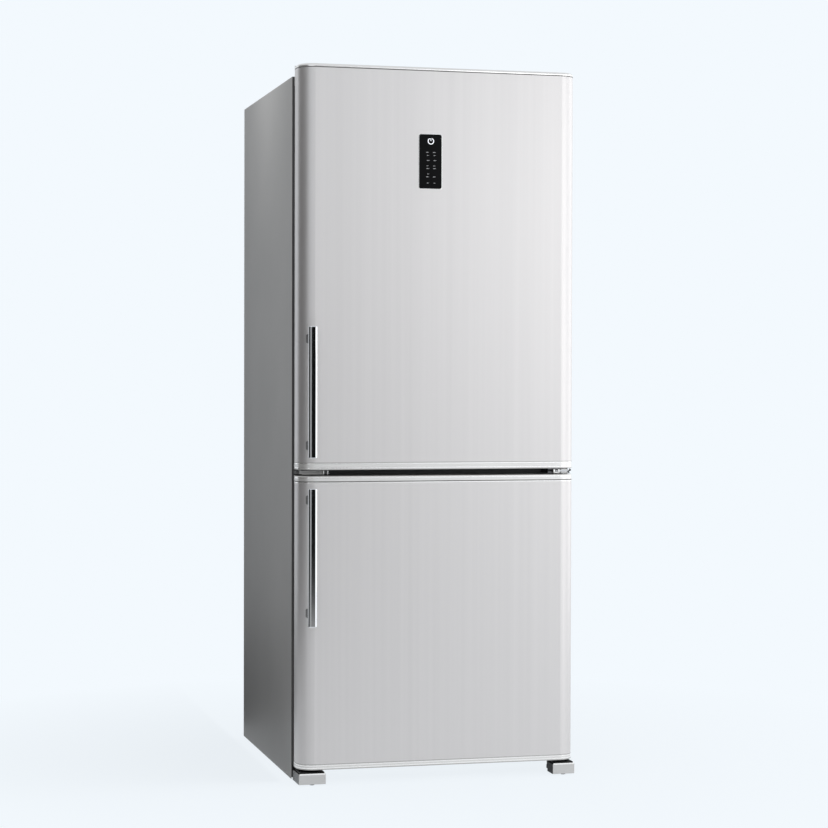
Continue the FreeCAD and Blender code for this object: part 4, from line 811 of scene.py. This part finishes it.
def middle_hinge_details(rail_start, rail_front, middle):
    """Ribs of the rail and what shows of the hinge: bushes, stop, washers and spring, with a dark
    block of painted shade behind; the stop and washers are in highlight silver, its brightness a
    painted highlight.
    """
    low, high = span("middle_hinge")
    blocks("rail_ribs", "black_steel", "cabinet", None,
           *(((rail_start, rail_front - 0.8, z), (low.x - 26, rail_front + 1, z + 1.2), 0.2)
             for z in (middle - 2.6, middle + 1.4)))
    # A near-black block at the back of the gap: painted shade.
    blocks("middle_hinge_reinforcement", "cross_dark", "cabinet", "motor_plastic",
           ((low.x - 17, rail_front - 4, middle - 4), (low.x - 3, rail_front, middle + 4), 1))
    bm = bmesh.new()
    for sign in (-1, 1):
        lathe(bm, [(5.3, 2.1 * sign), (9, 2.1 * sign), (9.4, 2.6 * sign), (9.4, 5.4 * sign),
                   (8.6, 6.4 * sign), (5.3, 6.4 * sign), (5.3, 2.1 * sign)],
              (HINGE_AXIS.x, HINGE_AXIS.y, middle))
    piece("middle_hinge_bushes", bm, "bush_white", "cabinet")
    x0, x1 = low.x - 1, low.x + 15
    y0, y1 = low.y - 3, low.y + 5
    blocks("middle_hinge_stop", "seam_light", "cabinet", "hinge_steel",
           ((x0, y0, middle - 5.2), (x1, y1, middle - 2.2), 0.4),
           *(((x, y0, middle - 4), (x + 4.4, y1, middle + 4.6), 0.5) for x in (x0, x1 - 4.4)))
    blocks("middle_hinge_washers", "seam_light", "cabinet", "hinge_steel",
           *(((x1 + 3, y0 + 1, z), (x1 + 20, y1, z + 2.2), 0.4)
             for z in (middle - 4.4, middle + 2.2)))
    points = []
    for step in range(SPRING_STEPS + 1):
        share = step / SPRING_STEPS
        points.append((high.x - 3 + SPRING_SWAY * math.sin(math.tau * share),
                       low.y - 1, middle + SPRING_HALF - 2 * SPRING_HALF * share))
    wire("middle_hinge_spring", points, SPRING_WIRE, "black_steel", "cabinet")


def gap_details():
    """All that shows in the gap between the doors."""
    low, high = span("gap_cover")
    middle = (low.z + high.z) / 2
    gap_blank(low, high, middle)
    middle_hinge_details(high.x + RAIL_GAP, high.y, middle)


# Front covers

LEFT_COVER_WIDTH, RIGHT_COVER_WIDTH, RIGHT_COVER_DEPTH, COVER_HEIGHT = 66, 56, 42, 24
GLIDE_PROFILE = ((0.3, 0.1), (5.2, 0.1), (6, 0.9), (6, 2.0), (0.3, 2.0))


def foot_cover_trims():
    """Bright upper edge (a painted highlight), black lid, inner cheek (painted shade on the left
    cover's side) and the glide under each front cover.
    """
    low, high = span("foot_covers")
    top, bottom, front = low.z + COVER_HEIGHT, low.z + 0.3, low.y
    for side, x0, x1, back in (
        ("left", low.x, low.x + LEFT_COVER_WIDTH, high.y),
        ("right", high.x - RIGHT_COVER_WIDTH, high.x, front + RIGHT_COVER_DEPTH),
    ):
        name = f"foot_cover_{side}"
        strip(f"{name}_edge", (x0 + 1.5, x1 - 1.5), (front - 0.5, front + 0.8),
              # Painted highlight along the cover's upper edge.
              (top - 1.4, top + 2.2), "seam_light", "cabinet")
        lid = [((x0 + 0.8, front + 1.2, top + 0.05), (x1 - 0.8, back, top + 0.8), 0.2),
               ((x0 + 3, front + 4, top + 0.5), (x1 - 3, back - 1, top + 5), 0.6)]
        if side == "right":
            lid.append(((x0 - 0.8, front + 1, bottom), (x0 + 0.1, back, top + 0.5), 0.2))
        blocks(f"{name}_lid", "cross_dark", "cabinet", "tray_plastic", *lid)
        if side == "left":
            # The left cover's side is drawn in dark grey instead of its silver: painted shade on
            # the side away from the light.
            blocks(f"{name}_cheek", "grey_plastic", "cabinet", "trim_silver",
                   ((x0 - 0.6, front + 3, bottom), (x0 + 0.1, back, top - 0.6), 0.2))
        bm = bmesh.new()
        lathe(bm, GLIDE_PROFILE, ((x0 + x1) / 2, front + 7, 0.0), steps=24)
        piece(f"{name}_glide", bm, "foot_black", "cabinet")


# Fasteners, top hinge cover and rear cover

SCREW_SHARES = (0.3, 0.7)
HINGE_PLATE_WIDTH, HINGE_SHEET, COVER_SHEET = 52, 3.5, 2
COVER_SCREW_EDGE, COVER_SCREW_INNER = 14, 120
LOUVRE_ROWS, LOUVRE_FIRST, LOUVRE_PITCH = 9, 20, 18
LOUVRE_PROFILE = ((-102, 0.1), (-96, 1), (96, 1), (102, 0.1))
GLAND_HEIGHT = 103
COLLAR_PROFILE = ((8.6, 0), (11, 0), (11, 1.4), (9.6, 2.6), (8.6, 2.6), (8.6, 0))


def pan_screws(name, places, radius, height):
    """Domed screw heads with a dark cross, painted shade in the recess; a place is a head's seat,
    its axis and its way.
    """
    heads, crosses = bmesh.new(), bmesh.new()
    arm, thin = radius * 0.55, radius * 0.13
    for seat, axis, way in places:
        tall = height * way
        lathe(heads, [(radius, 0), (radius, tall * 0.35), (radius * 0.8, tall * 0.8),
                      (radius * 0.4, tall), (0.05, tall)], seat, axis, 20)
        along = sorted((tall * 0.6, tall * 1.02))
        for u, v in ((arm, thin), (thin, arm)):
            ends = []
            for side, depth in zip((-1, 1), along):
                step = (u * side, v * side, depth) if axis == "z" else (u * side, depth, v * side)
                ends.append(tuple(a + b for a, b in zip(seat, step)))
            slab(crosses, *ends)
    item = piece(name, heads, "hinge_steel", "cabinet")
    # The crosses are painted shade in the recesses.
    piece(f"{name}_recesses", crosses, "cross_dark", "cabinet")
    return item


def screws():
    """Heads on the top and the lower hinge, and round the rear cover."""
    _, top_high = span("top_hinge")
    leg_low, leg_high = span("lower_hinge")
    front = span("cabinet_shell")[0].y
    places = []
    for share in SCREW_SHARES:
        x = leg_low.x + HINGE_PLATE_WIDTH * share
        y = front + (top_high.y - front) * share
        places.append(((x, y, top_high.z), "z", 1))
        places.append(((x, leg_high.y - HINGE_SHEET, leg_low.z + 5.5), "y", -1))
    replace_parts(pan_screws("hinge_screw_heads", places, 4, 2.2), "hinge_screws")
    low, high = span("rear_cover")
    ends = (low.x + COVER_SCREW_EDGE, high.x - COVER_SCREW_EDGE)
    upper = (ends[0], -COVER_SCREW_INNER, COVER_SCREW_INNER, ends[1])
    seats = [(x, high.z - 9) for x in upper] + [(x, low.z + 9) for x in ends]
    rear = [((x, low.y + COVER_SHEET, z), "y", 1) for x, z in seats]
    pan_screws("rear_cover_screws", rear, 4.5, 2.6)


def top_cover_details():
    """Raised lid and one screw on the top hinge's cover."""
    low, high = span("top_hinge_cover")
    lid = high.z + 1.1
    blocks("top_hinge_cover_lid", SLOTS["top_hinge_cover"], "cabinet", None,
           ((low.x + 6, low.y + 6, high.z - 0.1), (high.x - 6, high.y - 6, lid), 0.9))
    seat = ((low.x + high.x) / 2, high.y - 22, lid)
    pan_screws("top_hinge_cover_screw", [(seat, "z", 1)], 4.2, 1.3)


def louvres():
    """Hooded lips over the slots of the rear cover, and the gland's collar."""
    low, _ = span("rear_cover")
    quarter = span("cabinet_shell")[1].x / 2
    face = low.y + COVER_SHEET
    bm = bmesh.new()
    for row in range(LOUVRE_ROWS):
        z = low.z + LOUVRE_FIRST + LOUVRE_PITCH * row
        for middle in (-quarter, quarter):
            rings = []
            for x, out in LOUVRE_PROFILE:
                lip = ((face - 0.1, z + 6.2), (face - 0.1, z + 9.4),
                       (face + 4.6 * out, z + 5.2), (face + 4.2 * out, z + 3.8))
                rings.append([(middle + x, *point) for point in lip])
            loft(bm, rings)
    piece("rear_cover_louvres", bm, SLOTS["rear_cover"], "cabinet")
    bm = bmesh.new()
    lathe(bm, COLLAR_PROFILE, (0, face + 2.6, GLAND_HEIGHT), "y")
    piece("mains_gland_collar", bm, "tray_plastic", "cabinet")


# Machine compartment

POT_RADIUS, SEAM_RISE = 78, 4
WELD_PROFILE = ((77.5, -5), (80, -4.2), (80, 4.2), (77.5, 5))
SUCTION_RADIUS, SUCTION_TOP, DISCHARGE_RADIUS = 4, 236, 3
COIL_MIDDLE, COIL_WIRE_SPREAD, COIL_WIRES = 3, 3.6, 22
COIL_EDGE, COIL_WIRE_RADIUS, COIL_WIRE_LENGTH, COIL_WIRE_FOOT = 8, 0.7, 136, 75


def machine_details():
    """Weld seam of the compressor, its two pipes and the wires of the condenser coil."""
    low, high = span("compressor")
    coil_low, coil_high = span("condenser_coil")
    x, y = high.x - POT_RADIUS, (low.y + high.y) / 2
    waist = (low.z + high.z) / 2 + SEAM_RISE
    bm = bmesh.new()
    lathe(bm, WELD_PROFILE, (x, y, waist), steps=64)
    piece("compressor_weld_seam", bm, "compressor_black", "cabinet")
    coil_y = coil_low.y + COIL_MIDDLE
    suction = [(x - 40, y - 60, waist + 30), (x - 70, y - 75, waist + 60),
               (x - 120, y - 70, waist + 60), (x - 160, y - 50, SUCTION_TOP)]
    wire("suction_pipe", suction, SUCTION_RADIUS, "copper", "cabinet")
    discharge = [(x - 66, y + 40, waist - 10), (x - 100, y + 52, waist - 10),
                 (x - 110, y + 55, waist + 10), (coil_high.x - 6, coil_y, waist + 10)]
    wire("discharge_pipe", discharge, DISCHARGE_RADIUS, "copper", "cabinet")
    bm = bmesh.new()
    pitch_run = coil_high.x - coil_low.x - 2 * COIL_EDGE
    for number in range(COIL_WIRES):
        wire_x = coil_low.x + COIL_EDGE + number * pitch_run / (COIL_WIRES - 1)
        for wire_y in (coil_y - COIL_WIRE_SPREAD, coil_y + COIL_WIRE_SPREAD):
            lathe(bm, [(COIL_WIRE_RADIUS, 0), (COIL_WIRE_RADIUS, COIL_WIRE_LENGTH)],
                  (wire_x, wire_y, COIL_WIRE_FOOT), steps=8)
    piece("condenser_wires", bm, "black_steel", "cabinet")


# Stage, light and camera; lengths are in metres here

BACKGROUND = (0.896, 0.947, 0.991)
FLOOR_COLOUR = (0.86, 0.88, 0.9, 1)
FLOOR_REACH, FADE_START, FADE_END, FLOOR_SHOW = 14.0, 0.5, 1.6, 0.1
AMBIENT = 0.64
DARK = ((0.0, 0.02),)
FRONT_CARD_SHADES = ((0.08, 0.4), (0.12, 0.3), (0.187, 0.14), (0.255, 0.065), (0.36, 0.02),
                     (0.46, 0.01))
CAMERA_LENS, CAMERA_PLACE = 95.835, (-1377.04, -5504.57, 966.50)
CAMERA_YAW, CAMERA_PITCH, CAMERA_ROLL = 14.283, -0.8429, 0.1334


def light_path_switch(tree, outputs, plain, seen):
    """Mix two shaders: seen for the camera and the named rays, plain for the others."""
    path = tree.nodes.new("ShaderNodeLightPath")
    either = path.outputs["Is Camera Ray"]
    for name in outputs:
        add = tree.nodes.new("ShaderNodeMath")
        add.operation = "MAXIMUM"
        tree.links.new(either, add.inputs[0])
        tree.links.new(path.outputs[name], add.inputs[1])
        either = add.outputs[0]
    mix = tree.nodes.new("ShaderNodeMixShader")
    tree.links.new(either, mix.inputs[0])
    tree.links.new(plain, mix.inputs[1])
    tree.links.new(seen, mix.inputs[2])
    return mix.outputs[0]


def world():
    """White surrounding light; the camera, mirrors and glass see the photo's background."""
    scene_world = bpy.data.worlds.new("studio")
    bpy.context.scene.world = scene_world
    scene_world.use_nodes = True
    tree = scene_world.node_tree
    tree.nodes.clear()
    out = tree.nodes.new("ShaderNodeOutputWorld")
    plain = tree.nodes.new("ShaderNodeBackground")
    plain.inputs["Color"].default_value = (1, 1, 1, 1)
    plain.inputs["Strength"].default_value = AMBIENT
    seen = tree.nodes.new("ShaderNodeBackground")
    seen.inputs["Color"].default_value = (*BACKGROUND, 1)
    mixed = light_path_switch(
        tree, ("Is Glossy Ray", "Is Transmission Ray"), plain.outputs[0], seen.outputs[0]
    )
    tree.links.new(mixed, out.inputs["Surface"])


def plain_mesh(name, corners, material):
    """A flat face that belongs to the stage."""
    mesh = bpy.data.meshes.new(name)
    mesh.from_pydata(corners, [], [tuple(range(len(corners)))])
    mesh.materials.append(material)
    item = added(name, mesh)
    return item


def floor():
    """Floor that looks like the background, with a faint shadow near the object."""
    material = bpy.data.materials.new("pale_floor")
    material.use_nodes = True
    tree = material.node_tree
    tree.nodes.clear()
    out = tree.nodes.new("ShaderNodeOutputMaterial")
    diffuse = tree.nodes.new("ShaderNodeBsdfDiffuse")
    diffuse.inputs["Color"].default_value = FLOOR_COLOUR
    glow = tree.nodes.new("ShaderNodeEmission")
    glow.inputs["Color"].default_value = (*BACKGROUND, 1)
    blend = tree.nodes.new("ShaderNodeMixShader")
    place = tree.nodes.new("ShaderNodeTexCoord")
    distance = tree.nodes.new("ShaderNodeVectorMath")
    distance.operation = "LENGTH"
    fade = tree.nodes.new("ShaderNodeMapRange")
    fade.inputs["From Min"].default_value = FADE_START
    fade.inputs["From Max"].default_value = FADE_END
    fade.inputs["To Min"].default_value = FLOOR_SHOW
    fade.inputs["To Max"].default_value = 0.0
    tree.links.new(place.outputs["Object"], distance.inputs[0])
    tree.links.new(distance.outputs["Value"], fade.inputs["Value"])
    tree.links.new(fade.outputs["Result"], blend.inputs[0])
    tree.links.new(glow.outputs[0], blend.inputs[1])
    tree.links.new(diffuse.outputs[0], blend.inputs[2])
    mixed = light_path_switch(tree, ("Is Glossy Ray",), diffuse.outputs[0], blend.outputs[0])
    tree.links.new(mixed, out.inputs["Surface"])
    signs = ((-1, -1), (1, -1), (1, 1), (-1, 1))
    plain_mesh("floor", [(FLOOR_REACH * u, FLOOR_REACH * v, -MM) for u, v in signs], material)


def card(name, seen_by, corners, shades=DARK):
    """A studio card that the camera doesn't see; its shade follows the height."""
    material = bpy.data.materials.new(name)
    material.use_nodes = True
    tree, shader = nodes_of(material)
    if len(shades) == 1:
        shade = shades[0][1]
        shader.inputs["Base Color"].default_value = (shade, shade, shade, 1)
    else:
        first, last = shades[0][0], shades[-1][0]
        place = tree.nodes.new("ShaderNodeTexCoord")
        split = tree.nodes.new("ShaderNodeSeparateXYZ")
        height = tree.nodes.new("ShaderNodeMapRange")
        height.inputs["From Min"].default_value = first
        height.inputs["From Max"].default_value = last
        ramp = tree.nodes.new("ShaderNodeValToRGB")
        stops = ramp.color_ramp.elements
        for _ in shades[2:]:
            stops.new(0.5)
        for stop, (level, shade) in zip(stops, shades):
            stop.position = (level - first) / (last - first)
            stop.color = (shade, shade, shade, 1)
        tree.links.new(place.outputs["Object"], split.inputs["Vector"])
        tree.links.new(split.outputs["Z"], height.inputs["Value"])
        tree.links.new(height.outputs["Result"], ramp.inputs["Fac"])
        tree.links.new(ramp.outputs["Color"], shader.inputs["Base Color"])
    shader.inputs["Roughness"].default_value = 1.0
    shader.inputs["Specular IOR Level"].default_value = 0.0
    item = plain_mesh(name, corners, material)
    item.visible_camera = False
    item.visible_diffuse = seen_by == "diffuse"
    item.visible_glossy = seen_by == "glossy"
    item.visible_shadow = False
    item.visible_transmission = False


def upright(x, y, z):
    """Corners of an upright rectangle."""
    return [(x[0], y[0], z[0]), (x[1], y[1], z[0]), (x[1], y[1], z[1]), (x[0], y[0], z[1])]


def soft_light(name, location, target, width, height, power):
    """A rectangular light that faces a target; its power is in watts."""
    lamp = bpy.data.lights.new(name, "AREA")
    lamp.shape = "RECTANGLE"
    lamp.size = width
    lamp.size_y = height
    lamp.energy = power
    item = added(name, lamp)
    item.location = location
    item.rotation_mode = "QUATERNION"
    item.rotation_quaternion = (Vector(target) - Vector(location)).to_track_quat("-Z", "Y")
    return item


def camera():
    """Camera fitted to the photograph's edges."""
    data = bpy.data.cameras.new("photo_camera")
    data.lens = CAMERA_LENS
    data.sensor_width = 36
    data.sensor_fit = "HORIZONTAL"
    data.clip_end = 100
    item = added("photo_camera", data)
    yaw, pitch, roll = (math.radians(a) for a in (CAMERA_YAW, CAMERA_PITCH, CAMERA_ROLL))
    level = Vector((math.sin(yaw), math.cos(yaw), 0))
    right = Vector((math.cos(yaw), -math.sin(yaw), 0))
    up = Vector((0, 0, 1))
    ahead = level * math.cos(pitch) + up * math.sin(pitch)
    top = up * math.cos(pitch) - level * math.sin(pitch)
    side = right * math.cos(roll) + top * math.sin(roll)
    top = top * math.cos(roll) - right * math.sin(roll)
    place = Matrix((side, top, -ahead)).transposed().to_4x4()
    place.translation = Vector(CAMERA_PLACE) * MM
    item.matrix_world = place
    bpy.context.scene.camera = item


def studio():
    """Stage, cards that shade one kind of light each, four soft lights and the camera."""
    world()
    floor()
    card("dark_card_left", "glossy", upright((-1.9, -1.9), (-2.2, 1.0), (0.0, 2.6)),
         ((0.0, 0.3), (0.35, 0.07)))
    card("dark_card_floor", "glossy",
         [(-0.38, 0.5, 0.02), (-2.4, 0.5, 0.02), (-2.4, 2.6, 0.02), (-0.38, 2.6, 0.02)])
    card("grey_card_left", "glossy", upright((-2.1, -0.1), (-3.2, -3.2), (-0.6, 1.2)),
         ((-0.6, 0.6), (0.3, 0.46)))
    card("dark_card_front", "glossy", upright((0.08, 0.4), (-3.0, -3.0), (0.02, 2.4)),
         FRONT_CARD_SHADES)
    card("dark_card_low", "diffuse",
         [(-0.38, -0.28, 0.005), (-1.7, -0.28, 0.5), (-1.7, 3.0, 0.5), (-0.38, 3.0, 0.005)])
    card("dark_card_rear", "diffuse", upright((-0.75, -0.75), (0.48, 1.8), (0.0, 1.7)))
    soft_light("key_right", (1.93, -2.07, 0.92), (-0.12, -0.77, 0.8), 1.6, 2.8, 14.6)
    soft_light("side_right", (2.35, 0.0, 1.45), (0.34, -0.33, 1.0), 1.7, 2.6, 13.5)
    soft_light("front_high", (1.3, -2.8, 1.75), (-0.1, -0.3, 0.8), 1.2, 1.4, 6)
    crown = soft_light("side_left_high", (-0.56, 0.06, 1.88), (-0.35, 0.05, 1.68), 0.3, 0.6, 1.1)
    crown.visible_glossy = False
    camera()
    bpy.context.scene.view_settings.view_transform = "Standard"


door_seams()
handle("fridge")
handle("freezer")
display_marks()
gasket("fridge_door")
gasket("freezer_door")
door_bins()
drawers()
shelf_trims()
fridge_door_face()
freezer_door_face()
duct_details()
lamp_details()
fan_grille()
flange_trim()
gap_details()
foot_cover_trims()
screws()
top_cover_details()
louvres()
machine_details()
studio()
